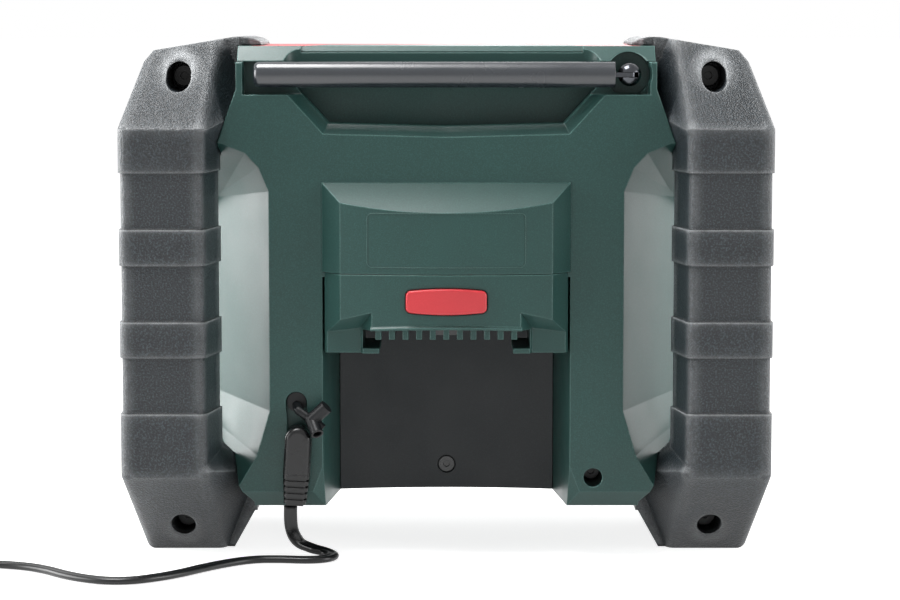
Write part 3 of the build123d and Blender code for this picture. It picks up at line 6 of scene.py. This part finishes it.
import bpy
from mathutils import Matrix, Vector


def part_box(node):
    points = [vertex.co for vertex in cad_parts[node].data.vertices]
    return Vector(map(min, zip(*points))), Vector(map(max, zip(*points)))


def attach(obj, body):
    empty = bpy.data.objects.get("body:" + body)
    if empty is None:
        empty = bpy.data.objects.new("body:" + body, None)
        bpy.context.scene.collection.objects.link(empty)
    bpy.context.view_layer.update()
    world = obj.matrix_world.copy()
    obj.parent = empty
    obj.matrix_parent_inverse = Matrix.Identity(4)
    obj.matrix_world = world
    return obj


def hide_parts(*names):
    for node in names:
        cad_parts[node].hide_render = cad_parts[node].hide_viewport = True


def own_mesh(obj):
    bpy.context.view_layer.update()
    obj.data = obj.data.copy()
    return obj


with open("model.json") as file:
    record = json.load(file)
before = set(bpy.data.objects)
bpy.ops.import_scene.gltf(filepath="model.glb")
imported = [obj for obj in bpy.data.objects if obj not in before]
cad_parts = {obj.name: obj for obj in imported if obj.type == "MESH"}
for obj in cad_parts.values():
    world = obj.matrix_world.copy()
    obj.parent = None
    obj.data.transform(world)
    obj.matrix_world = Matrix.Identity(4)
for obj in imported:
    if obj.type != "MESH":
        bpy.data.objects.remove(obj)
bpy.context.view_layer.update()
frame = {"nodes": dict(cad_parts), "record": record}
nodes = frame["nodes"]
MM = 0.001


# ---------------------------------------------------------------- colours and materials
def linear(code, alpha=1.0):
    """Linear colour of an sRGB hex code."""
    out = []
    for i in (0, 2, 4):
        v = int(code[i:i + 2], 16) / 255
        out.append(v / 12.92 if v <= 0.04045 else ((v + 0.055) / 1.055) ** 2.4)
    return (*out, alpha)


def new_material(name):
    mat = bpy.data.materials.new(name)
    mat.use_nodes = True
    return mat, mat.node_tree, mat.node_tree.nodes["Principled BSDF"]


def add(tree, kind, **values):
    node = tree.nodes.new(kind)
    for key, value in values.items():
        if hasattr(node, key):
            setattr(node, key, value)
        else:
            node.inputs[key.replace("_", " ")].default_value = value
    return node


def noise(tree, scale, detail=2.0, rough=0.5):
    place = tree.nodes.get("Place") or add(tree, "ShaderNodeTexCoord", name="Place")
    node = add(tree, "ShaderNodeTexNoise", Scale=scale, Detail=detail, Roughness=rough)
    tree.links.new(place.outputs["Object"], node.inputs["Vector"])
    return node


def spread(tree, source, low, high, start=0.3, end=0.7):
    """Maps a 0-1 value between two numbers."""
    node = add(tree, "ShaderNodeMapRange")
    node.inputs["From Min"].default_value = start
    node.inputs["From Max"].default_value = end
    node.inputs["To Min"].default_value = low
    node.inputs["To Max"].default_value = high
    tree.links.new(source, node.inputs["Value"])
    return node.outputs["Result"]


def mix_colour(tree, factor, a, b, mode="MIX"):
    node = add(tree, "ShaderNodeMix", data_type="RGBA", blend_type=mode)
    sockets = (node.inputs["Factor"], node.inputs[6], node.inputs[7])
    for socket, value in zip(sockets, (factor, a, b)):
        if isinstance(value, (int, float, tuple)):
            socket.default_value = value
        else:
            tree.links.new(value, socket)
    return node.outputs[2]


def moulded(name, colour, rough=0.45, grain=1400.0, depth=0.03, mottle=0.10, edge=0.35,
            round_edges=0.5, specular=0.5, dust=0.0, speck_and_glint=0.2, fillet_highlight=0.0, highlight_colour=None):
    """Moulded plastic or rubber: grained skin whose lighter specks are painted glints, slight
    mottling, soft edges with painted highlights, and painted shade in crevices.

    depth, round_edges and the reach of the painted highlight bands along fillets are in millimetres;
    the last argument is the colour of the painted edge highlights.
    """
    mat, tree, shader = new_material(name)
    base = linear(colour)
    dark = tuple(c * (1 - mottle) for c in base[:3]) + (1,)
    light = tuple(c * (1 + mottle) for c in base[:3]) + (1,)
    cloud = noise(tree, 38.0, 4.0)
    body = mix_colour(tree, spread(tree, cloud.outputs["Fac"], 0, 1), dark, light)
    # Lighter specks on the grain are painted glints; darker specks are darker grain spots.
    fine = noise(tree, grain, 2.0, 0.6)
    body = mix_colour(tree, spread(tree, fine.outputs["Fac"], 0.0, speck_and_glint, 0.50, 0.66), body,
                      tuple(min(1, c * 3.6 + 0.015) for c in base[:3]) + (1,))
    body = mix_colour(tree, spread(tree, fine.outputs["Fac"], speck_and_glint, 0.0, 0.36, 0.50), body,
                      tuple(c * 0.35 for c in base[:3]) + (1,))
    bevel = add(tree, "ShaderNodeBevel", samples=4, Radius=round_edges * MM)
    shape = tree.nodes.new("ShaderNodeNewGeometry")
    dot = add(tree, "ShaderNodeVectorMath", operation="DOT_PRODUCT")
    tree.links.new(bevel.outputs["Normal"], dot.inputs[0])
    tree.links.new(shape.outputs["Normal"], dot.inputs[1])
    highlight_noise = noise(tree, 260.0, 3.0)
    # Ambient occlusion within 1.6 mm: painted shade in crevices, and a mask that keeps the painted
    # edge highlights off concave edges.
    crevice_shade = add(tree, "ShaderNodeAmbientOcclusion", samples=4, Distance=1.6 * MM)
    tilt = tree.nodes.new("ShaderNodeSeparateXYZ")
    tree.links.new(bevel.outputs["Normal"], tilt.inputs["Vector"])
    # Painted highlights on convex edges: a lighter colour where the bevel normal turns away from the
    # surface normal.
    edge_highlight_mask = spread(tree, dot.outputs["Value"], 1.0, 0.0, 0.87, 0.98)
    # Painted highlight bands along fillets, where inside ambient occlusion over this reach is partly
    # blocked.
    if fillet_highlight:
        core = add(tree, "ShaderNodeAmbientOcclusion", samples=4, inside=True, Distance=fillet_highlight * MM)
        thick = add(tree, "ShaderNodeMath", operation="MULTIPLY")
        tree.links.new(spread(tree, core.outputs["AO"], 1.0, 0.0, 0.58, 0.82), thick.inputs[0])
        tree.links.new(spread(tree, core.outputs["AO"], 0.0, 1.0, 0.30, 0.46), thick.inputs[1])
        ridge = add(tree, "ShaderNodeMath", operation="MAXIMUM")
        tree.links.new(edge_highlight_mask, ridge.inputs[0])
        tree.links.new(thick.outputs["Value"], ridge.inputs[1])
        edge_highlight_mask = ridge.outputs["Value"]
    # The painted edge highlights are broken up by noise, kept off crevices, and weaker on edges that
    # face down, as if lit from above.
    for part in (spread(tree, highlight_noise.outputs["Fac"], 0.6 * edge, edge),
                 spread(tree, crevice_shade.outputs["AO"], 0.0, 1.0, 0.70, 0.92),
                 spread(tree, tilt.outputs["Z"], 0.35, 1.0, -0.4, 0.4)):
        step = add(tree, "ShaderNodeMath", operation="MULTIPLY")
        tree.links.new(edge_highlight_mask, step.inputs[0])
        tree.links.new(part, step.inputs[1])
        edge_highlight_mask = step.outputs["Value"]
    # Mix in the colour of the painted edge highlights.
    body = mix_colour(tree, edge_highlight_mask, body, linear(highlight_colour) if highlight_colour else
                      tuple(min(1, c * 5 + 0.12) for c in base[:3]) + (1,))
    # Painted shade: darker in crevices.
    body = mix_colour(tree, spread(tree, crevice_shade.outputs["AO"], 0.5, 0.0, 0.4, 0.9), body,
                      tuple(c * 0.3 for c in base[:3]) + (1,))
    if dust:
        smear = noise(tree, 9.0, 5.0)
        body = mix_colour(tree, spread(tree, smear.outputs["Fac"], 0, dust, 0.5, 0.75), body,
                          linear("8a8d90"))
    tree.links.new(body, shader.inputs["Base Color"])
    sheen = spread(tree, cloud.outputs["Fac"], rough - 0.05, rough + 0.06)
    tree.links.new(sheen, shader.inputs["Roughness"])
    bump = add(tree, "ShaderNodeBump", Strength=1.0, Distance=depth * MM)
    tree.links.new(fine.outputs["Fac"], bump.inputs["Height"])
    tree.links.new(bevel.outputs["Normal"], bump.inputs["Normal"])
    tree.links.new(bump.outputs["Normal"], shader.inputs["Normal"])
    shader.inputs["Specular IOR Level"].default_value = specular
    return mat


def metal(name, colour, rough=0.2, scratches=0.02):
    """Bare metal with fine scratches, whose depth is in millimetres."""
    mat, tree, shader = new_material(name)
    streak = noise(tree, 900.0, 4.0)
    tint = linear(colour)
    body = mix_colour(tree, spread(tree, streak.outputs["Fac"], 0, 1), tint,
                      tuple(c * 0.82 for c in tint[:3]) + (1,))
    tree.links.new(body, shader.inputs["Base Color"])
    sheen = spread(tree, streak.outputs["Fac"], rough * 0.8, rough * 1.3)
    tree.links.new(sheen, shader.inputs["Roughness"])
    shader.inputs["Metallic"].default_value = 1.0
    bevel = add(tree, "ShaderNodeBevel", samples=4, Radius=0.2 * MM)
    bump = add(tree, "ShaderNodeBump", Strength=0.5, Distance=scratches * MM)
    tree.links.new(streak.outputs["Fac"], bump.inputs["Height"])
    tree.links.new(bevel.outputs["Normal"], bump.inputs["Normal"])
    tree.links.new(bump.outputs["Normal"], shader.inputs["Normal"])
    return mat


def clear_glass(name):
    mat, tree, shader = new_material(name)
    shader.inputs["Base Color"].default_value = linear("d8e2de")
    shader.inputs["Transmission Weight"].default_value = 1.0
    shader.inputs["IOR"].default_value = 1.49
    shader.inputs["Roughness"].default_value = 0.03
    wave = noise(tree, 30.0, 1.0)
    bump = add(tree, "ShaderNodeBump", Strength=0.2, Distance=0.02 * MM)
    tree.links.new(wave.outputs["Fac"], bump.inputs["Height"])
    tree.links.new(bump.outputs["Normal"], shader.inputs["Normal"])
    return mat


def circuit(name):
    """Lacquered board with faint copper runs."""
    mat, tree, shader = new_material(name)
    place = add(tree, "ShaderNodeTexCoord", name="Place")
    cells = add(tree, "ShaderNodeTexVoronoi", Scale=420.0, feature="DISTANCE_TO_EDGE")
    tree.links.new(place.outputs["Object"], cells.inputs["Vector"])
    lines = spread(tree, cells.outputs["Distance"], 1, 0, 0.02, 0.06)
    body = mix_colour(tree, lines, linear("1d5a38"), linear("2f7d4c"))
    tree.links.new(body, shader.inputs["Base Color"])
    shader.inputs["Roughness"].default_value = 0.3
    shader.inputs["Coat Weight"].default_value = 0.4
    return mat


green = moulded("green_plastic", "24433f", rough=0.37, grain=2300, depth=0.02, mottle=0.04,
                edge=0.75, round_edges=0.9, specular=0.32, speck_and_glint=0.12)
# The rubber's lighter grain specks are painted glints, and its grey edge colour is painted
# highlights along its fillets and edges.
rubber = moulded("black_rubber", "161c20", rough=0.35, grain=1250, depth=0.6, mottle=0.10,
                 edge=0.9, round_edges=1.6, specular=0.40, dust=0.02, speck_and_glint=0.8, fillet_highlight=7.0,
                 highlight_colour="b0b3b5")
red = moulded("red_plastic", "c9333a", rough=0.36, grain=2600, depth=0.008, mottle=0.04,
              edge=0.15, speck_and_glint=0.05)
red_trim = moulded("red_trim", "a62a31", rough=0.35, grain=2600, depth=0.006, mottle=0.04,
                   edge=0.1)
black = moulded("black_plastic", "1c2022", rough=0.48, grain=2000, depth=0.02, mottle=0.08,
                edge=0.25, specular=0.3, speck_and_glint=0.1)
soft_black = moulded("soft_black", "121416", rough=0.36, grain=1800, depth=0.01, mottle=0.06,
                     edge=0.1, specular=0.24, speck_and_glint=0.06)
gloss_black = moulded("gloss_black", "0e0f10", rough=0.3, grain=1200, depth=0.003, mottle=0.05,
                      edge=0.1, round_edges=0.3, specular=0.35, speck_and_glint=0.05)
sleeve_black = moulded("antenna_plastic", "282c31", rough=0.25, grain=2400, depth=0.006,
                       mottle=0.05, edge=0.2, specular=0.7, speck_and_glint=0.05)
knob_grey = moulded("knob", "2c2f30", rough=0.4, grain=2200, depth=0.01, mottle=0.05, edge=0.35)
grille_black = moulded("dark_steel", "191b1c", rough=0.35, grain=2600, depth=0.006, mottle=0.06,
                       edge=0.3, round_edges=0.3)
paper = moulded("cone", "202122", rough=0.85, grain=1600, depth=0.05, mottle=0.12, edge=0.1)
chip = moulded("parts_dark", "1a1b1d", rough=0.3, grain=2000, depth=0.006, mottle=0.05, edge=0.2)
steel = metal("steel", "b9bbbd", rough=0.28)
dark_chrome = metal("dark_chrome", "4c4e52", rough=0.2, scratches=0.006)
nickel = metal("nickel", "c4c1b8", rough=0.22)
brass = metal("brass", "c9a45c", rough=0.22)
chrome = metal("chrome", "d5d7da", rough=0.10, scratches=0.004)
iron = metal("magnet", "5a5b5e", rough=0.5)
alu = metal("heat_sink", "b5b7ba", rough=0.35)
lens = clear_glass("lens")
board = circuit("board")

BY_SLOT = {
    "green_plastic": green, "front_plastic": green, "black_rubber": rubber, "red_plastic": red,
    "red_trim": red_trim, "black_plastic": black, "gloss_black": gloss_black, "steel": steel,
    "dark_steel": grille_black, "chrome": chrome, "brass": brass, "nickel": nickel,
    "soft_black": soft_black, "lens": lens, "display": black, "board": board, "parts_dark": chip,
    "heat_sink": alu, "cone": paper, "magnet": iron, "knob": knob_grey,
}
BY_NODE = {"antenna_sleeve": sleeve_black, "antenna_base": dark_chrome,
           "antenna_tongue": dark_chrome, "antenna_pin": dark_chrome}

for row in frame["record"]["subparts"]:
    obj = nodes[row["node"]]
    finish = BY_NODE.get(row["node"], BY_SLOT[row["material_slot"]])
    if not obj.material_slots:
        obj.data.materials.append(finish)
    for place in obj.material_slots:
        place.link = "OBJECT"
        place.material = finish


# ---------------------------------------------------------------- helpers for pieces
def mesh_piece(name, verts, faces, material):
    """A smooth mesh that rides on the case."""
    mesh = bpy.data.meshes.new(name)
    mesh.from_pydata([Vector(v) for v in verts], [], faces)
    mesh.validate()
    mesh.update()
    mesh.polygons.foreach_set("use_smooth", [True] * len(mesh.polygons))
    obj = bpy.data.objects.new(name, mesh)
    bpy.context.scene.collection.objects.link(obj)
    obj.data.materials.append(material)
    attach(obj, "case")
    return obj


def ring_faces(rows, count):
    """Quads between rows of count points each, closed round each row."""
    faces = []
    for i in range(rows - 1):
        for j in range(count):
            k = (j + 1) % count
            faces.append((i * count + j, i * count + k, (i + 1) * count + k, (i + 1) * count + j))
    return faces


def nurbs_points(points, resolution=8):
    """Points along a NURBS of order 3 through its end points."""
    curve = bpy.data.curves.new("route", "CURVE")
    curve.dimensions = "3D"
    curve.resolution_u = resolution
    spline = curve.splines.new("NURBS")
    spline.points.add(len(points) - 1)
    for target, point in zip(spline.points, points):
        target.co = (*point, 1.0)
    spline.order_u = 3
    spline.use_endpoint_u = True
    holder = bpy.data.objects.new("route", curve)
    bpy.context.scene.collection.objects.link(holder)
    bpy.context.view_layer.update()
    mesh = bpy.data.meshes.new_from_object(holder)
    line = [v.co.copy() for v in mesh.vertices]
    bpy.data.objects.remove(holder)
    bpy.data.meshes.remove(mesh)
    return line


def tangents(line):
    out = []
    for i in range(len(line)):
        out.append((line[min(i + 1, len(line) - 1)] - line[max(i - 1, 0)]).normalized())
    return out


def sweep(name, line, section, material):
    """A closed tube along a line. section(i) gives (width, height) points; width is level."""
    verts = []
    count = len(section(0))
    for i, (point, along) in enumerate(zip(line, tangents(line))):
        upright = abs(along.z)
        guide = Vector((0, upright, 1 - upright))
        high = (guide - along * guide.dot(along)).normalized()
        wide = along.cross(high)
        verts += [point + wide * a + high * b for a, b in section(i)]
    faces = ring_faces(len(line), count)
    faces.append(tuple(reversed(range(count))))
    faces.append(tuple(range(len(verts) - count, len(verts))))
    return mesh_piece(name, verts, faces, material)


# ---------------------------------------------------------------- button springs
def cone_springs(wire=0.16 * MM, turns=3.5, steps=84, ring=8):
    """Two conical wire springs behind the release button, drawn at rest; their turns would nest if
    it were pressed.
    """
    low, high = (Vector(corner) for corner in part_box("release_spring"))
    verts, faces = [], []
    coil_half = (high.z - low.z) / 2
    for side in (-1, 1):
        first = len(verts)
        for i in range(steps + 1):
            share = i / steps
            angle = 2 * math.pi * turns * share
            out = Vector((math.cos(angle), 0, math.sin(angle)))
            depth = low.y + wire + (high.y - low.y - 2 * wire) * share
            axis = Vector((side * (high.x - coil_half), depth, low.z + coil_half))
            centre = axis + out * (coil_half - wire) * (0.5 + 0.5 * share)
            for j in range(ring):
                turn = 2 * math.pi * j / ring
                across = out * math.cos(turn) + Vector((0, 1, 0)) * math.sin(turn)
                verts.append(centre + across * wire)
        for i in range(steps):
            for j in range(ring):
                a, b = first + i * ring + j, first + i * ring + (j + 1) % ring
                faces.append((a, b, b + ring, a + ring))
        faces.append(tuple(first + j for j in reversed(range(ring))))
        faces.append(tuple(len(verts) - ring + j for j in range(ring)))
    piece = mesh_piece("release_springs", verts, faces, steel)
    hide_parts("release_spring")
    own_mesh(piece)


cone_springs()


# ---------------------------------------------------------------- bare label area
PLATE_HALF, PLATE_LOW, PLATE_HIGH = 35.8, 132.8, 158.0
BULGE_BACK, BULGE_RADIUS = 80.0, 226.2


def plate_corners(inset, radius, steps=6):
    """A rectangle with round corners, as (x, z)."""
    half, low, high = PLATE_HALF - inset, PLATE_LOW + inset, PLATE_HIGH - inset
    centres = [(half - radius, high - radius, 0), (-half + radius, high - radius, 90),
               (-half + radius, low + radius, 180), (half - radius, low + radius, 270)]
    points = []
    for x, z, start in centres:
        for step in range(steps + 1):
            angle = math.radians(start + 90 * step / steps)
            points.append((x + radius * math.cos(angle), z + radius * math.sin(angle)))
    return points


def on_bulge(x, z, proud):
    return Vector((x, BULGE_BACK - x * x / (2 * BULGE_RADIUS) + proud, z)) * MM


def finely(points, pitch=2.5):
    """Points along a closed outline, with long sides divided so that they follow the bulge."""
    out = []
    for a, b in zip(points, points[1:] + points[:1]):
        parts = max(1, round(math.hypot(b[0] - a[0], b[1] - a[1]) / pitch))
        out += [(a[0] + (b[0] - a[0]) * t / parts, a[1] + (b[1] - a[1]) * t / parts)
                for t in range(parts)]
    return out


def raised_line(name, inset, width, proud, material):
    """A thin raised line round the bare label area, with sloping sides, in millimetres."""
    middle = finely(plate_corners(inset, 2.2))
    count = len(middle)
    verts, faces = [], []
    for i, (x, z) in enumerate(middle):
        (x0, z0), (x1, z1) = middle[i - 1], middle[(i + 1) % count]
        length = math.hypot(x1 - x0, z1 - z0)
        nx, nz = (z1 - z0) / length, (x0 - x1) / length
        for shift, rise in ((0.5, -0.1), (0.28, proud), (-0.28, proud), (-0.5, -0.1)):
            verts.append(on_bulge(x + nx * width * shift, z + nz * width * shift, rise))
    for i in range(count):
        k = (i + 1) % count
        for j in range(3):
            faces.append((i * 4 + j, i * 4 + j + 1, k * 4 + j + 1, k * 4 + j))
    return mesh_piece(name, verts, faces, material)


raised_line("plate_border", 0.6, 0.55, 0.22, green)


# ---------------------------------------------------------------- supply lead
ROUTE = [
    (70.1, 71.0, 25.2), (70.3, 70.8, 18.5), (69.4, 68.6, 12.0), (66.6, 64.4, 7.0),
    (61.4, 60.0, 3.6), (54.0, 60.8, 2.0), (50.6, 68.4, 1.8), (54.2, 76.0, 1.8),
    (62.5, 78.4, 1.8), (74.0, 76.0, 1.8), (88.0, 76.6, 1.8), (104.0, 91.5, 1.8),
    (121.0, 115.0, 1.8), (141.0, 128.0, 1.8), (162.0, 117.5, 1.8), (180.0, 95.5, 1.8),
    (199.0, 87.5, 1.8), (224.0, 85.0, 1.8),
]
COIL_X, COIL_Y = 249.0, 49.0
TURN_RADII = [36.0, 30.0, 36.0, 30.0, 36.0, 33.0]
TURN_HEIGHTS = [1.7, 1.7, 4.8, 4.8, 7.9, 7.9]
POINTS_A_TURN = 12
TURNS = 5.25
SPLINE_SHRINK = 0.97  # a NURBS lies this far inside points on a circle
TAIL = [(281.9, 37.0, 7.2), (281.6, 23.0, 7.6), (280.4, 10.0, 10.0), (280.0, 0.5, 11.0)]


def eased(values, turn):
    """A value a turn, easing to the next one over the last 0.35 of the turn."""
    low = min(int(turn), len(values) - 1)
    high = min(low + 1, len(values) - 1)
    t = max(0.0, (turn - int(turn) - 0.65) / 0.35)
    t = t * t * (3 - 2 * t)
    return values[low] * (1 - t) + values[high] * t


def coil_points():
    points = []
    for step in range(int(TURNS * POINTS_A_TURN) + 1):
        turn = step / POINTS_A_TURN
        angle = math.radians(90 - 360 * turn)
        radius = eased(TURN_RADII, turn) / SPLINE_SHRINK
        points.append((COIL_X + radius * math.cos(angle), COIL_Y + radius * math.sin(angle),
                       eased(TURN_HEIGHTS, turn)))
    return points


lead_line = nurbs_points([tuple(v * MM for v in p) for p in ROUTE + coil_points() + TAIL])
LEAD_HALF = 1.5 * MM


def twin_section(i):
    """Two round cores side by side, with a groove between them; the same at every step i."""
    outline = []
    for side in (1, -1):
        for step in range(9):
            angle = math.radians(-135 + 270 * step / 8) + (0 if side > 0 else math.pi)
            outline.append((side * LEAD_HALF + LEAD_HALF * math.cos(angle),
                            LEAD_HALF * math.sin(angle)))
    return outline


lead = sweep("supply_lead", lead_line, twin_section, gloss_black)
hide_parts("power_cord", "cord_coil", "cord_tail")

COIL_MIDDLE_RADIUS, COIL_MIDDLE_Z = 33, 4.8
TIE_WIDE, TIE_TALL = 5.9, 4.35  # half sizes of a tie's section round the turns
TIE_SQUARENESS = 0.55
TIE_ROWS = ((-2.2, 0.0), (-1.8, 0.35), (1.8, 0.35), (2.2, 0.0))  # (along the lead, proud)
TIE_STEPS = 28


def lead_tie(number, degrees):
    """A soft tie round the turns of the lead, at an angle of the coil."""
    angle = math.radians(degrees)
    middle = Vector((COIL_X + COIL_MIDDLE_RADIUS * math.cos(angle),
                     COIL_Y + COIL_MIDDLE_RADIUS * math.sin(angle), COIL_MIDDLE_Z)) * MM
    out = Vector((math.cos(angle), math.sin(angle), 0))
    along = Vector((-out.y, out.x, 0))
    verts = []
    for shift, grow in TIE_ROWS:
        for step in range(TIE_STEPS):
            a = 2 * math.pi * step / TIE_STEPS
            c, s = math.cos(a), math.sin(a)
            wide = math.copysign(abs(c) ** TIE_SQUARENESS, c) * (TIE_WIDE + grow)
            tall = math.copysign(abs(s) ** TIE_SQUARENESS, s) * (TIE_TALL + grow)
            verts.append(middle + (out * wide + Vector((0, 0, tall)) + along * shift) * MM)
    return mesh_piece("lead_tie_%d" % number, verts, ring_faces(len(TIE_ROWS), TIE_STEPS),
                      soft_black)


ties = [lead_tie(number, degrees) for number, degrees in enumerate((205, 335))]

relief_line = [Vector((280.0 + 0.02 * t, -1.5 + 0.9 * t, 11.0 - 0.06 * t)) * MM
               for t in range(17)]
RELIEF_STEPS = 16
RELIEF_FLATNESS = 0.85


def relief_section(i):
    """Tapered sleeve with ribs where the lead leaves the adapter."""
    radius = (3.9 - 0.07 * i + (0.35 if i % 3 == 1 else 0.0)) * MM
    angles = [2 * math.pi * k / RELIEF_STEPS for k in range(RELIEF_STEPS)]
    return [(radius * math.cos(a), radius * RELIEF_FLATNESS * math.sin(a)) for a in angles]


relief = sweep("adapter_relief", relief_line, relief_section, soft_black)


# ---------------------------------------------------------------- floor, light and camera
def light_path_mix(tree, plain, bright):
    """plain for the object's own light, bright for what the camera, gloss and glass see."""
    path = tree.nodes.new("ShaderNodeLightPath")
    total = path.outputs["Is Camera Ray"]
    for name in ("Is Glossy Ray", "Is Transmission Ray"):
        node = add(tree, "ShaderNodeMath", operation="ADD", use_clamp=True)
        tree.links.new(total, node.inputs[0])
        tree.links.new(path.outputs[name], node.inputs[1])
        total = node.outputs["Value"]
    mix = tree.nodes.new("ShaderNodeMixShader")
    tree.links.new(total, mix.inputs["Fac"])
    tree.links.new(plain, mix.inputs[1])
    tree.links.new(bright, mix.inputs[2])
    return mix.outputs["Shader"]


def make_floor():
    """A matt floor that shows white to the camera and keeps the object's shadow."""
    mesh = bpy.data.meshes.new("floor")
    half = 30.0
    corners = [(-half, -half, 0), (half, -half, 0), (half, half, 0), (-half, half, 0)]
    mesh.from_pydata(corners, [], [(0, 1, 2, 3)])
    floor = bpy.data.objects.new("floor", mesh)
    bpy.context.scene.collection.objects.link(floor)
    mat = bpy.data.materials.new("floor")
    mat.use_nodes = True
    tree = mat.node_tree
    tree.nodes.remove(tree.nodes["Principled BSDF"])
    matt = add(tree, "ShaderNodeBsdfDiffuse", Color=(0.62, 0.62, 0.62, 1))
    glow = tree.nodes.new("ShaderNodeEmission")
    place = tree.nodes.new("ShaderNodeTexCoord")
    away = add(tree, "ShaderNodeVectorMath", operation="LENGTH")
    tree.links.new(place.outputs["Object"], away.inputs[0])
    strength = spread(tree, away.outputs["Value"], 0.82, 1.0, 0.3, 2.0)
    tree.links.new(strength, glow.inputs["Strength"])
    both = tree.nodes.new("ShaderNodeAddShader")
    tree.links.new(matt.outputs["BSDF"], both.inputs[0])
    tree.links.new(glow.outputs["Emission"], both.inputs[1])
    out = tree.nodes["Material Output"]
    surface = light_path_mix(tree, matt.outputs["BSDF"], both.outputs["Shader"])
    tree.links.new(surface, out.inputs["Surface"])
    floor.data.materials.append(mat)


def make_world():
    world = bpy.data.worlds.new("studio")
    bpy.context.scene.world = world
    world.use_nodes = True
    tree = world.node_tree
    soft = tree.nodes["Background"]
    soft.inputs["Color"].default_value = (1.0, 1.0, 1.0, 1)
    soft.inputs["Strength"].default_value = 0.06
    white = add(tree, "ShaderNodeBackground", Strength=1.0)
    white.inputs["Color"].default_value = (1, 1, 1, 1)
    shader = light_path_mix(tree, soft.outputs["Background"], white.outputs["Background"])
    tree.links.new(shader, tree.nodes["World Output"].inputs["Surface"])


def softbox(name, place, target, size, power):
    lamp = bpy.data.lights.new(name, "AREA")
    lamp.shape = "RECTANGLE"
    lamp.size, lamp.size_y = size
    lamp.energy = power
    obj = bpy.data.objects.new(name, lamp)
    obj.location = place
    obj.rotation_euler = (Vector(target) - Vector(place)).to_track_quat("-Z", "Y").to_euler()
    bpy.context.scene.collection.objects.link(obj)


SENSOR_WIDTH = 36.0
FOCAL_WIDTHS = 2821 / 900  # focal length in picture widths
CAMERA_PLACE = (-1.65 * MM, 1.325, 0.244)
CAMERA_DIP = 5.729  # degrees below level


def make_camera():
    """Camera behind the radio, a little above its top, with a long lens."""
    data = bpy.data.cameras.new("camera")
    data.sensor_width = SENSOR_WIDTH
    data.lens = FOCAL_WIDTHS * SENSOR_WIDTH
    camera = bpy.data.objects.new("camera", data)
    camera.location = CAMERA_PLACE
    camera.rotation_euler = (math.radians(90 - CAMERA_DIP), 0, math.radians(180))
    bpy.context.scene.collection.objects.link(camera)
    bpy.context.scene.camera = camera


make_floor()
make_world()
softbox("overhead", (0.42, 0.12, 1.4), (0.42, 0.12, 0), (0.7, 0.75), 33.0)
softbox("left", (1.4, -0.3, 0.42), (0, -0.2, 0.12), (1.7, 0.8), 41.0)
softbox("right", (-1.4, -0.3, 0.42), (0, -0.2, 0.12), (1.7, 0.8), 16.0)
softbox("left_back", (1.4, 0.62, 0.5), (0, 0.05, 0.12), (0.4, 0.8), 4.2)
softbox("right_back", (-1.4, 0.62, 0.5), (0, 0.05, 0.12), (0.4, 0.8), 9.0)
softbox("front", (-0.5, -1.7, 0.8), (0, 0, 0.12), (1.2, 0.9), 8.0)
make_camera()
bpy.context.scene.view_settings.view_transform = "Standard"
